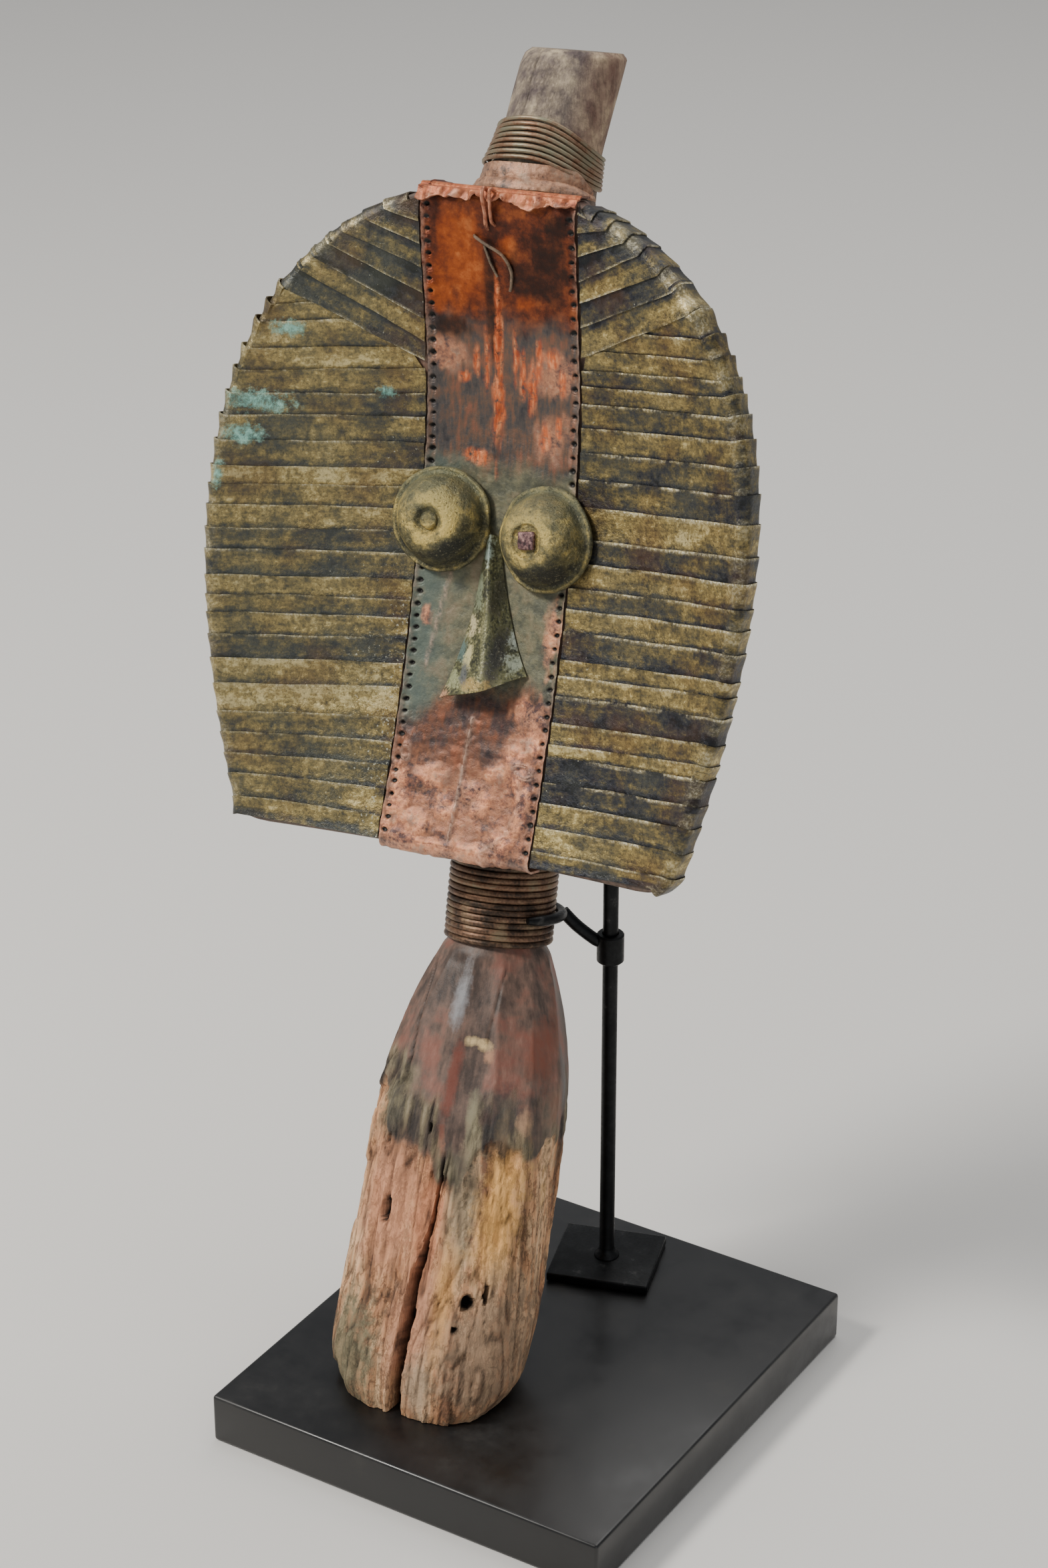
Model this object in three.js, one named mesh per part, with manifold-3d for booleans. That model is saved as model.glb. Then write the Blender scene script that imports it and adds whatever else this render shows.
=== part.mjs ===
// A Kota reliquary guardian on its display stand.
// Millimetres, +Z up, the face looks towards -Y, the origin is the middle of the base's underside.
// The wooden core is one carving: topknot, hollowed head board, neck and weathered stem.
// Brass strips, a copper plate, eyes and a nose clothe the hollow face, and wire binds both necks.

import * as THREE from 'three';
import { mergeVertices } from 'three/addons/utils/BufferGeometryUtils.js';
import Module from 'manifold-3d';

const wasm = await Module();
wasm.setup();

const RAD = Math.PI / 180;

// Clearances and sheet metal
const FIT_GAP = 0.3;
const SKIN_GAP = 0.6;
const STRIP_THICK = 0.8;
const STRIP_LIFT = 0.7;
const STRIP_JOINT = 0.35;
const PLATE_THICK = 1.3;

// Stand
const BASE_WIDTH = 183;
const BASE_DEPTH = 200;
const BASE_THICK = 22;
const BASE_BEVEL = 1.5;
const FOOT_WIDTH = 44;
const FOOT_DEPTH = 40;
const FOOT_THICK = 4;
const FOOT_TURN = 18 * RAD;
const ROD_RADIUS = 3.2;
const ROD_CHAMFER = 1.5;
const ROD_HEIGHT = 216;
const ROD_X = -4;
const ROD_FROM_BACK = 33;
const SLEEVE_WALL = 2.2;
const SLEEVE_LENGTH = 13;
const SLEEVE_HEIGHT = 156;
const ARM_RADIUS = 2.6;
const CRADLE_BAR = 4.5;
const CRADLE_HEIGHT = 14;
const CRADLE_SWEEP = 150 * RAD;

// Pose of the figure on its stand, measured at the point between the eyes
const EYE_HEIGHT = 337;
const EYE_X = -50;
const EYE_Y = 53;
const LEAN = 18 * RAD;
const ROLL = 3 * RAD;
const TURN = 5 * RAD;

// Head board, in the figure's own frame with its origin between the eyes
const HEAD_TOP = 130;
const HEAD_BOTTOM = -129;
const HEAD_HALF_WIDTH = 116.5;
const WIDEST_Z = -9;
const CROWN_REACH = 142;
const CROWN_POWER = 2.4;
const JAW_TAPER = 22;
const JAW_POWER = 1.68;
const CORNER_RADIUS = 8;
const RIM_THICK = 12.5;
const RIM_ROUND = 2.6;

// Hollow of the face: how far the wood lies behind the point between the eyes
const FACE_DEPTH = 3.4;
const RIM_FORWARD = 26.2;
const CHIN_SWEEP = 8;
const CROWN_SWEEP = 3;
const BROW_RISE = 29;
const BROW_START = 10;
const BROW_LENGTH = 118;
const CHIN_RISE = 13;
const CHIN_LENGTH = 140;
const BACK_DEPTH = 18;
const BACK_SLOPE = 0.076;
const BACK_ROUNDNESS = 1.2;

// Copper plate
const PLATE_HALF_WIDTH = 33.5;
const LIP_LENGTH = 7;
const CREASE_HEIGHT = 1.2;
const CREASE_WIDTH = 2.5;
const CREASE_FADE = 60;

// Brass strips
const BACK_LAP = 13;
const STRIP_FOOT = 3;
const LEVEL_STRIPS = 22;
const LEVEL_TOP = 70;
const LEFT_SLOPE = 7.5;
const RIGHT_SLOPE = -4.5;
const SLOPE_FADE = 45;
const FAN_STRIPS = 6;
const HIDDEN_STRIPS = 2;
const LEFT_FAN = { inner: 64, outer: 86 };
const RIGHT_FAN = { inner: 71, outer: 93 };
const FAN_TOP_INNER = HEAD_TOP - 5;
const FAN_TOP_OUTER = HEAD_TOP - 4.4;
const FAN_OVERLAP = 0.8;
const FAN_TUCK = 0.1;
const FAN_CROWDING = 0.8;
const HIDDEN_END = 10;
const HIDDEN_FIRST_START = 0.35;
const HIDDEN_RISE = 1.5;
const SHORTEST_STRIP = 6;

// Eyes and nose
const EYE_SPACING = 46.8;
const EYE_RADIUS = 21;
const EYE_HEIGHT_OUT = 15.5;
const EYE_FLANGE = 1.4;
const EYE_DROP = 2.4;
const NAIL_RADIUS = 3.6;
const NAIL_HEIGHT = 1.8;
const NOSE_TOP = { x: -2, z: -2 };
const NOSE_LEFT = { x: -11, z: -68 };
const NOSE_RIGHT = { x: 20, z: -55 };
const NOSE_RIDGE = { x: 8, z: -62, out: 13.5 };
const NOSE_TOP_OUT = 3.2;
const NOSE_WING_OUT = 6.2;

// Wire bindings
const WIRE_PITCH = 2.8;
const WIRE_THICK = 2.5;
const NECK_TURNS = 14;
const KNOT_TURNS = 9;
const BINDING_CLEAR = 1.2;
const BINDING_GAP = 0.45;

// The pole that runs from the stem through the back of the head to the topknot
const NECK_RADIUS = 19.4;
const NECK_SETBACK = 37.5;
const KNOT_RADIUS = 20.2;
const KNOT_TILT = 20.4;
const KNOT_TOP_TILT = -2.6;
const KNOT_SETBACK = 30.5;
const STEM_HALF_WIDTH = 42;
const STEM_HALF_DEPTH = 29.5;
const NECK_TOP = HEAD_BOTTOM - 2;
const NECK_BOTTOM = NECK_TOP - BINDING_CLEAR - NECK_TURNS * WIRE_PITCH;
const KNOT_BOTTOM = HEAD_TOP + 1;
const STEM_BELOW_NECK = 182;
const KNOT_LENGTH = 56;
const KNOT_BEVEL = 2.2;

// A station of the pole: height z, distance y behind the eye point, half width a, half depth d,
// tilt of the section in degrees, and how square the section is, where 2 is an ellipse.
// Places and sizes along the carving are shares of the stem's, the neck's and the topknot's own.
const stemStation = (down, back, wide, deep, tilt, square) => ({
  z: NECK_BOTTOM - down * STEM_BELOW_NECK,
  y: back * NECK_SETBACK,
  a: wide * STEM_HALF_WIDTH,
  d: deep * STEM_HALF_DEPTH,
  tilt,
  square,
});
const neckStation = (z, back, wide, deep, tilt) => ({
  z, y: back * NECK_SETBACK, a: wide * NECK_RADIUS, d: deep * NECK_RADIUS, tilt, square: 2,
});
const knotStation = (up, back, wide, deep, tilt) => ({
  z: KNOT_BOTTOM + up * KNOT_LENGTH,
  y: back * KNOT_SETBACK,
  a: wide * KNOT_RADIUS,
  d: deep * KNOT_RADIUS,
  tilt,
  square: 2,
});
const knotBevelShare = 1 - KNOT_BEVEL / KNOT_RADIUS;
// The topknot leans back, but its top is cut square to the figure, so the cut is a little deeper
const slantedCut = 1 / Math.cos(THREE.MathUtils.degToRad(KNOT_TILT));
const POLE = [
  stemStation(1.209, -0.16, 0.667, 0.61, 9, 2.6),
  stemStation(1.044, 0.133, 0.821, 0.814, 9, 2.7),
  stemStation(0.956, 0.213, 0.976, 0.949, 9, 2.7),
  stemStation(0.769, 0.467, 1, 0.983, 10, 2.6),
  stemStation(0.522, 0.613, 0.976, 1, 9, 2.6),
  stemStation(0.396, 0.693, 0.976, 0.983, 8, 2.5),
  stemStation(0.275, 0.827, 0.917, 0.949, 7, 2.4),
  stemStation(0.154, 0.907, 0.774, 0.881, 5, 2.3),
  stemStation(0.066, 0.96, 0.643, 0.797, 3, 2.1),
  stemStation(0.014, 0.995, 0.538, 0.739, 2, 2),
  neckStation(NECK_BOTTOM, 1, 1, 1, 1),
  neckStation(NECK_TOP, 0.987, 1, 1, 0),
  neckStation(0.62 * HEAD_BOTTOM, 0.8, 0.773, 0.67, 0),
  neckStation(0, 0.56, 0.567, 0.515, 0),
  neckStation(0.615 * HEAD_TOP, 0.373, 0.722, 0.619, 0),
  knotStation(-0.107, 0.262, 1.188, 0.916, 4),
  knotStation(0.107, 0.377, 1.114, 0.965, 10),
  knotStation(0.286, 0.498, 1, 1, 17),
  knotStation(0.518, 0.659, 1, 1, KNOT_TILT),
  knotStation(0.964, 0.977, 1, slantedCut, KNOT_TOP_TILT),
  knotStation(1, 1, knotBevelShare, slantedCut * knotBevelShare, KNOT_TOP_TILT),
];
const POLE_SIDES = 16;

// Weathering of the stem. Its places are shares too: how far down it and how far across it.
const CRACK_DOWN = 0.531;
const CRACK_X_TOP = 5.5;
const CRACK_X_BOTTOM = 0.5;
const CRACK_WIDTH = 4.2;
const CRACK_DEPTH = 15;
const KNOTHOLE = { across: -0.476, down: 0.591, wide: 0.143, tall: 0.06, deep: 0.475 };
const HOLLOWS = [
  { across: 0.619, down: 0.707, wide: 0.31, tall: 0.242, deep: 0.108 },
  { across: 0.286, down: 0.827, wide: 0.214, tall: 0.143, deep: 0.095 },
  { across: -0.714, down: 0.805, wide: 0.262, tall: 0.286, deep: 0.088 },
  { across: -0.286, down: 0.498, wide: 0.19, tall: 0.165, deep: 0.068 },
];

// Materials
const finish = (color, roughness, metalness) =>
  new THREE.MeshStandardMaterial({ color, roughness, metalness });
const AGED_WOOD = finish(0x8a6450, 0.85, 0);
const BRASS = finish(0x75684a, 0.5, 0.85);
const DARK_BRASS = finish(0x55503e, 0.5, 0.8);
const COPPER = finish(0xa2583a, 0.5, 0.85);
const EYE_BRASS = finish(0x857a4c, 0.45, 0.85);
const NOSE_METAL = finish(0x5a5c48, 0.5, 0.8);
const WIRE_COPPER = finish(0x7a5c48, 0.5, 0.8);
const BLACK_STEEL = finish(0x17171a, 0.4, 0.6);
const BLACK_LACQUER = finish(0x101012, 0.25, 0);

// A closed mesh from vertex and face lists, turned to face outwards
function closedMesh(points, faces) {
  const flat = points.flatMap((p) => [p.x, p.y, p.z]);
  let volume = 0;
  for (const [i, j, k] of faces) {
    volume += points[i].dot(new THREE.Vector3().crossVectors(points[j], points[k]));
  }
  const turned = volume < 0 ? faces.map(([i, j, k]) => [i, k, j]) : faces;
  const geometry = new THREE.BufferGeometry();
  geometry.setAttribute('position', new THREE.Float32BufferAttribute(flat, 3));
  geometry.setIndex(turned.flat());
  return geometry;
}

// A closed skin over rings of equal length, each ring a closed loop.
// The ends are fans to a middle point, or the rings join up into a torus.
function loftRings(rings, joined = false) {
  const count = rings[0].length;
  const points = rings.flat();
  const faces = [];
  const last = joined ? rings.length : rings.length - 1;
  for (let r = 0; r < last; r += 1) {
    const next = (r + 1) % rings.length;
    for (let k = 0; k < count; k += 1) {
      const a = r * count + k;
      const b = r * count + ((k + 1) % count);
      const c = next * count + ((k + 1) % count);
      const d = next * count + k;
      faces.push([a, b, c], [a, c, d]);
    }
  }
  if (!joined) {
    for (const [r, flip] of [[0, true], [rings.length - 1, false]]) {
      const middle = new THREE.Vector3();
      rings[r].forEach((p) => middle.add(p));
      points.push(middle.divideScalar(count));
      for (let k = 0; k < count; k += 1) {
        const a = r * count + k;
        const b = r * count + ((k + 1) % count);
        faces.push(flip ? [points.length - 1, b, a] : [points.length - 1, a, b]);
      }
    }
  }
  return closedMesh(points, faces);
}

// A thin closed sheet from a grid of places, each with an inner and an outer point
function sheet(grid) {
  const rows = grid.length;
  const columns = grid[0].length;
  const points = grid.flat().map((g) => g.outer).concat(grid.flat().map((g) => g.inner));
  const outer = (r, c) => r * columns + c;
  const inner = (r, c) => rows * columns + r * columns + c;
  const faces = [];
  for (let r = 0; r + 1 < rows; r += 1) {
    for (let c = 0; c + 1 < columns; c += 1) {
      faces.push([outer(r, c), outer(r, c + 1), outer(r + 1, c + 1)]);
      faces.push([outer(r, c), outer(r + 1, c + 1), outer(r + 1, c)]);
      faces.push([inner(r, c), inner(r + 1, c + 1), inner(r, c + 1)]);
      faces.push([inner(r, c), inner(r + 1, c), inner(r + 1, c + 1)]);
    }
  }
  const edge = (r1, c1, r2, c2) => {
    faces.push([outer(r1, c1), inner(r2, c2), outer(r2, c2)]);
    faces.push([outer(r1, c1), inner(r1, c1), inner(r2, c2)]);
  };
  for (let c = 0; c + 1 < columns; c += 1) {
    edge(0, c, 0, c + 1);
    edge(rows - 1, c + 1, rows - 1, c);
  }
  for (let r = 0; r + 1 < rows; r += 1) {
    edge(r + 1, 0, r, 0);
    edge(r, columns - 1, r + 1, columns - 1);
  }
  return closedMesh(points, faces);
}

function toSolid(geometry) {
  const bare = geometry.clone();
  bare.deleteAttribute('normal');
  bare.deleteAttribute('uv');
  const merged = mergeVertices(bare, 1e-4);
  return new wasm.Manifold(new wasm.Mesh({
    numProp: 3,
    vertProperties: new Float32Array(merged.attributes.position.array),
    triVerts: new Uint32Array(merged.index.array),
  }));
}

function toGeometry(solid) {
  const mesh = solid.getMesh();
  const geometry = new THREE.BufferGeometry();
  geometry.setAttribute('position', new THREE.Float32BufferAttribute(mesh.vertProperties, 3));
  geometry.setIndex(Array.from(mesh.triVerts));
  return geometry;
}

// Shape of the head board

function halfWidth(z) {
  const above = z - WIDEST_Z;
  let width;
  if (above >= 0) {
    const reach = Math.min(1, above / CROWN_REACH);
    width = HEAD_HALF_WIDTH * Math.sqrt(1 - reach ** CROWN_POWER);
  } else {
    width = HEAD_HALF_WIDTH - JAW_TAPER * (-above / (WIDEST_Z - HEAD_BOTTOM)) ** JAW_POWER;
  }
  const low = Math.min(CORNER_RADIUS, HEAD_BOTTOM + CORNER_RADIUS - z);
  if (low > 0) width -= CORNER_RADIUS - Math.sqrt(CORNER_RADIUS ** 2 - low ** 2);
  return Math.max(width, PLATE_HALF_WIDTH);
}

function rimFront(z) {
  const share = z / (z < 0 ? HEAD_BOTTOM : HEAD_TOP);
  return -RIM_FORWARD + (z < 0 ? CHIN_SWEEP : CROWN_SWEEP) * share ** 2;
}

function faceCentre(z) {
  if (z > BROW_START) {
    const share = Math.min(1, (z - BROW_START) / BROW_LENGTH);
    return FACE_DEPTH - BROW_RISE * (1 - Math.cos(share * Math.PI / 2));
  }
  return FACE_DEPTH - CHIN_RISE * ((BROW_START - z) / CHIN_LENGTH) ** 2.5;
}

const across = (x, z) => Math.min(1, Math.abs(x) / halfWidth(z));

function woodFront(x, z) {
  const centre = faceCentre(z);
  return centre + (rimFront(z) - centre) * across(x, z) ** 2;
}

function woodBack(x, z) {
  const edge = rimFront(z) + RIM_THICK;
  const middle = BACK_DEPTH - BACK_SLOPE * z;
  return edge + (middle - edge) * (1 - across(x, z) ** 2) ** BACK_ROUNDNESS;
}

// A point of the side outline with its outward direction in the plane of the board
function rimPoint(side, z) {
  const step = 0.5;
  const slope = (halfWidth(z + step) - halfWidth(z - step)) / (2 * step);
  const length = Math.hypot(1, slope);
  return { x: side * halfWidth(z), z, nx: side / length, nz: -slope / length };
}

function headOutline() {
  const right = [];
  const bottomHalf = halfWidth(HEAD_BOTTOM + 0.01);
  for (const share of [0, 0.35, 0.7]) right.push([share * bottomHalf, HEAD_BOTTOM]);
  const levels = 14;
  for (let k = 0; k <= levels; k += 1) {
    const share = 1 - (1 - k / levels) ** 1.35;
    const z = HEAD_BOTTOM + 0.01 + (HEAD_TOP - HEAD_BOTTOM - 0.01) * share;
    right.push([halfWidth(z), z]);
    if (k === 0) right.push([halfWidth(HEAD_BOTTOM + 2.4), HEAD_BOTTOM + 2.4]);
    if (k === 0) right.push([halfWidth(HEAD_BOTTOM + 7), HEAD_BOTTOM + 7]);
  }
  right.push([0.55 * PLATE_HALF_WIDTH, HEAD_TOP], [0, HEAD_TOP]);
  const left = right.slice(1, -1).reverse().map(([x, z]) => [-x, z]);
  const loop = right.concat(left);
  return loop.map(([x, z], k) => {
    const [ax, az] = loop[(k + loop.length - 1) % loop.length];
    const [bx, bz] = loop[(k + 1) % loop.length];
    const before = new THREE.Vector2(z - az, ax - x).normalize();
    const after = new THREE.Vector2(bz - z, x - bx).normalize();
    const normal = before.clone().add(after).normalize();
    const mitre = 1 / Math.max(0.75, normal.dot(before));
    return { x, z, nx: normal.x * mitre, nz: normal.y * mitre };
  });
}

function headBoard() {
  const outline = headOutline();
  const inset = outline.map((q) => ({ x: q.x - RIM_ROUND * q.nx, z: q.z - RIM_ROUND * q.nz }));
  const shares = [0.08, 0.27, 0.46, 0.65, 0.83];
  const scaled = (share, surface) =>
    inset.map((q) => new THREE.Vector3(q.x * share, surface(q.x * share, q.z * share), q.z * share));
  const rings = shares.map((share) => scaled(share, woodFront));
  rings.push(scaled(1, woodFront));
  rings.push(outline.map((q, k) =>
    new THREE.Vector3(q.x, woodFront(inset[k].x, inset[k].z) + RIM_ROUND, q.z)));
  rings.push(outline.map((q, k) =>
    new THREE.Vector3(q.x, woodBack(inset[k].x, inset[k].z) - RIM_ROUND, q.z)));
  rings.push(scaled(1, woodBack));
  [...shares].reverse().forEach((share) => rings.push(scaled(share, woodBack)));
  return loftRings(rings);
}

// The pole's section at any height, between its stations
function poleAt(z) {
  let k = 0;
  while (k < POLE.length - 2 && z > POLE[k + 1].z) k += 1;
  const share = THREE.MathUtils.clamp((z - POLE[k].z) / (POLE[k + 1].z - POLE[k].z), 0, 1);
  const section = { z };
  for (const key of ['y', 'a', 'd', 'tilt', 'square']) {
    section[key] = POLE[k][key] + (POLE[k + 1][key] - POLE[k][key]) * share;
  }
  return section;
}

function poleRing(section, grow = 0) {
  const ring = [];
  for (let k = 0; k < POLE_SIDES; k += 1) {
    const angle = (k / POLE_SIDES) * 2 * Math.PI;
    const c = Math.cos(angle);
    const s = Math.sin(angle);
    const power = 2 / section.square;
    const x = (section.a + grow) * Math.sign(c) * Math.abs(c) ** power;
    const out = (section.d + grow) * Math.sign(s) * Math.abs(s) ** power;
    const tilt = section.tilt * RAD;
    ring.push(new THREE.Vector3(x, section.y + out * Math.cos(tilt), section.z - out * Math.sin(tilt)));
  }
  return ring;
}

function stemFront(x, z) {
  const section = poleAt(z);
  const share = Math.min(0.98, Math.abs(x) / section.a);
  return section.y - section.d * (1 - share ** section.square) ** (1 / section.square);
}

// An egg-shaped hollow in the stem's front
function egg(place) {
  const x = place.across * STEM_HALF_WIDTH;
  const z = NECK_BOTTOM - place.down * STEM_BELOW_NECK;
  const ball = new THREE.SphereGeometry(0.5, 8, 5);
  ball.scale(
    place.wide * STEM_HALF_WIDTH,
    2 * place.deep * STEM_HALF_DEPTH,
    place.tall * STEM_BELOW_NECK,
  );
  ball.translate(x, stemFront(x, z), z);
  return toSolid(ball);
}

// A wedge that opens downwards, for the drying crack
function crackWedge() {
  const bottom = POLE[0].z;
  const top = NECK_BOTTOM - CRACK_DOWN * STEM_BELOW_NECK;
  const section = (x, z, half) => {
    const front = stemFront(x, z) - 0.8 * CRACK_DEPTH;
    const back = stemFront(x, z) + CRACK_DEPTH;
    return [
      new THREE.Vector3(x - half, front, z),
      new THREE.Vector3(x + half, front, z),
      new THREE.Vector3(x + 0.15 * half, back, z),
      new THREE.Vector3(x - 0.15 * half, back, z),
    ];
  };
  return toSolid(loftRings([
    section(CRACK_X_BOTTOM, bottom, CRACK_WIDTH / 2),
    section(CRACK_X_BOTTOM, top - 0.33 * STEM_BELOW_NECK, 0.42 * CRACK_WIDTH),
    section(CRACK_X_TOP, top - 0.08 * STEM_BELOW_NECK, 0.2 * CRACK_WIDTH),
    section(CRACK_X_TOP, top, 0.08 * CRACK_WIDTH),
  ]));
}

const figurePose = new THREE.Group();
figurePose.position.set(EYE_X, EYE_Y, BASE_THICK + EYE_HEIGHT);
figurePose.rotation.set(-LEAN, -ROLL, TURN, 'ZYX');
figurePose.updateMatrixWorld(true);

// Everything below the base's top, seen from the figure's frame
function belowBase() {
  const room = 2 * STEM_BELOW_NECK;
  const block = new THREE.BoxGeometry(room, room, room);
  block.translate(0, 0, BASE_THICK + FIT_GAP - room / 2);
  block.applyMatrix4(figurePose.matrixWorld.clone().invert());
  return toSolid(block);
}

function woodCore() {
  const pole = toSolid(loftRings(POLE.map((section) => poleRing(section))));
  let core = toSolid(headBoard()).add(pole);
  core = core.subtract(crackWedge());
  for (const hollow of [KNOTHOLE, ...HOLLOWS]) core = core.subtract(egg(hollow));
  return toGeometry(core.subtract(belowBase()));
}

// One strip: from its inner end over the face, round the rim and a short way onto the back.
// The lower and the upper edge each have an inner end, a height at the rim and a lift.
function stripEdge(side, edge) {
  const rim = rimPoint(side, edge.outer);
  const inset = { x: rim.x - RIM_ROUND * rim.nx, z: rim.z - RIM_ROUND * rim.nz };
  const near = SKIN_GAP + edge.lift;
  const far = near + STRIP_THICK;
  const places = [];
  const put = (x, y, z, dx, dy, dz) => places.push({
    inner: new THREE.Vector3(x + near * dx, y + near * dy, z + near * dz),
    outer: new THREE.Vector3(x + far * dx, y + far * dy, z + far * dz),
  });
  const startX = side * edge.start;
  for (const share of [0, 0.3, 0.65, 1]) {
    const x = startX + (inset.x - startX) * share;
    const z = edge.inner + (inset.z - edge.inner) * share;
    put(x, woodFront(x, z), z, 0, -1, 0);
  }
  put(rim.x, woodFront(inset.x, inset.z) + RIM_ROUND, rim.z, rim.nx, 0, rim.nz);
  put(rim.x, woodBack(inset.x, inset.z) - RIM_ROUND, rim.z, rim.nx, 0, rim.nz);
  put(inset.x, woodBack(inset.x, inset.z), inset.z, 0, 1, 0);
  const lap = { x: inset.x - BACK_LAP * rim.nx, z: inset.z - BACK_LAP * rim.nz };
  put(lap.x, woodBack(lap.x, lap.z), lap.z, 0, 1, 0);
  return places;
}

const strip = (side, lower, upper) => sheet([stripEdge(side, lower), stripEdge(side, upper)]);

const stripStart = PLATE_HALF_WIDTH + FIT_GAP;

// Heights of the level strips' joints at the rim, evenly spaced from chin to temple
function levelJoint(side, k) {
  const low = HEAD_BOTTOM + STRIP_FOOT;
  const outer = low + (LEVEL_TOP - low) * (k / LEVEL_STRIPS);
  const fade = Math.min(1, (outer - low) / SLOPE_FADE);
  return { outer, inner: outer + fade * (side < 0 ? LEFT_SLOPE : RIGHT_SLOPE) };
}

// The lowest fan strip's lower edge: where it stands at a distance x from the middle
function fanEdgeX(side, z) {
  const fan = side < 0 ? LEFT_FAN : RIGHT_FAN;
  const reach = halfWidth(fan.outer) - RIM_ROUND;
  const share = (z - fan.inner) / (fan.outer - fan.inner);
  return stripStart + Math.max(0, share) * (reach - stripStart);
}

function levelStrip(side, k) {
  const below = levelJoint(side, k);
  const above = levelJoint(side, k + 1);
  const half = STRIP_JOINT / 2;
  const lower = { outer: below.outer + half, inner: below.inner + half, start: stripStart, lift: 0 };
  const upper = {
    outer: above.outer - half, inner: above.inner - half, start: stripStart, lift: STRIP_LIFT,
  };
  for (const edge of [lower, upper]) {
    const start = fanEdgeX(side, edge.inner + STRIP_JOINT);
    if (start > stripStart) {
      const fan = side < 0 ? LEFT_FAN : RIGHT_FAN;
      const reach = halfWidth(edge.outer) - RIM_ROUND;
      edge.start = Math.min(start + STRIP_JOINT, reach - SHORTEST_STRIP);
      edge.inner = Math.min(edge.inner, fan.inner - 2 * STRIP_JOINT);
    }
  }
  return strip(side, lower, upper);
}

// The fan of rising strips at a temple, each one lapping over the next below it.
// Behind the lowest, short hidden strips carry on from the level ones.
function fan(side) {
  const low = side < 0 ? LEFT_FAN : RIGHT_FAN;
  const pieces = [];
  const levelTop = levelJoint(side, LEVEL_STRIPS).outer;
  const hiddenStart = fanEdgeX(side, low.outer) - HIDDEN_END;
  const reach = halfWidth(low.outer) - RIM_ROUND;
  const hidden = (share) => {
    const outer = levelTop + STRIP_JOINT + (low.outer - levelTop) * share;
    const grown = HIDDEN_FIRST_START + (1 - HIDDEN_FIRST_START) * share;
    const start = stripStart + (hiddenStart - stripStart) * grown;
    const rise = (low.outer - low.inner) * (start - stripStart) / (reach - stripStart);
    return { outer, start, inner: Math.min(low.inner + rise + HIDDEN_RISE, outer), lift: 0 };
  };
  const raised = (edge, amount) => ({ ...edge, outer: edge.outer + amount, inner: edge.inner + amount });
  for (let k = 0; k < HIDDEN_STRIPS; k += 1) {
    const under = hidden(k / HIDDEN_STRIPS);
    if (k > 0) under.outer -= FAN_OVERLAP;
    pieces.push(strip(side, under, raised(hidden((k + 1) / HIDDEN_STRIPS), FAN_OVERLAP)));
  }
  const risingEdge = (share, lift) => ({
    inner: low.inner + (FAN_TOP_INNER - low.inner) * share,
    outer: low.outer + (FAN_TOP_OUTER - low.outer) * share ** FAN_CROWDING,
    start: stripStart,
    lift,
  });
  for (let k = 0; k < FAN_STRIPS; k += 1) {
    const over = risingEdge((k + 1) / FAN_STRIPS, FAN_TUCK);
    const lap = k + 1 < FAN_STRIPS ? FAN_OVERLAP : 0;
    pieces.push(strip(side, risingEdge(k / FAN_STRIPS, STRIP_LIFT), raised(over, lap)));
  }
  return toGeometry(pieces.map(toSolid).reduce((joined, piece) => joined.add(piece)));
}

// The copper plate runs down the middle and is folded over the crown and under the chin
function copperPlate() {
  const columns = [-1, -0.72, -0.36, -CREASE_WIDTH / PLATE_HALF_WIDTH / 2, 0,
    CREASE_WIDTH / PLATE_HALF_WIDTH / 2, 0.36, 0.72, 1];
  const near = SKIN_GAP;
  const far = SKIN_GAP + PLATE_THICK;
  const rows = 14;
  const grid = [];
  const row = (place) => grid.push(columns.map((share) => place(share * PLATE_HALF_WIDTH, share)));
  const wall = (z, up, back) => (x) => {
    const y = woodFront(x, z - up * RIM_ROUND) + RIM_ROUND + back;
    return {
      inner: new THREE.Vector3(x, y, z + up * near),
      outer: new THREE.Vector3(x, y, z + up * far),
    };
  };
  row(wall(HEAD_BOTTOM, -1, LIP_LENGTH));
  row(wall(HEAD_BOTTOM, -1, 0));
  for (let k = 0; k <= rows; k += 1) {
    const low = HEAD_BOTTOM + RIM_ROUND;
    const z = low + (HEAD_TOP - RIM_ROUND - low) * (k / rows);
    const fromEnd = Math.min(z - low, HEAD_TOP - z);
    const crease = CREASE_HEIGHT * Math.max(0, 1 - fromEnd / CREASE_FADE) ** 0.5;
    row((x, share) => {
      const y = woodFront(x, z);
      return {
        inner: new THREE.Vector3(x, y - near, z),
        outer: new THREE.Vector3(x, y - far - (share === 0 ? crease : 0), z),
      };
    });
  }
  row(wall(HEAD_TOP, 1, 0));
  row(wall(HEAD_TOP, 1, LIP_LENGTH));
  return sheet(grid);
}

// The metal skin's outer face, for what is nailed onto it
function skinFront(x, z) {
  const cover = Math.abs(x) <= stripStart ? PLATE_THICK : STRIP_THICK + STRIP_LIFT;
  return woodFront(x, z) - SKIN_GAP - cover;
}

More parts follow.
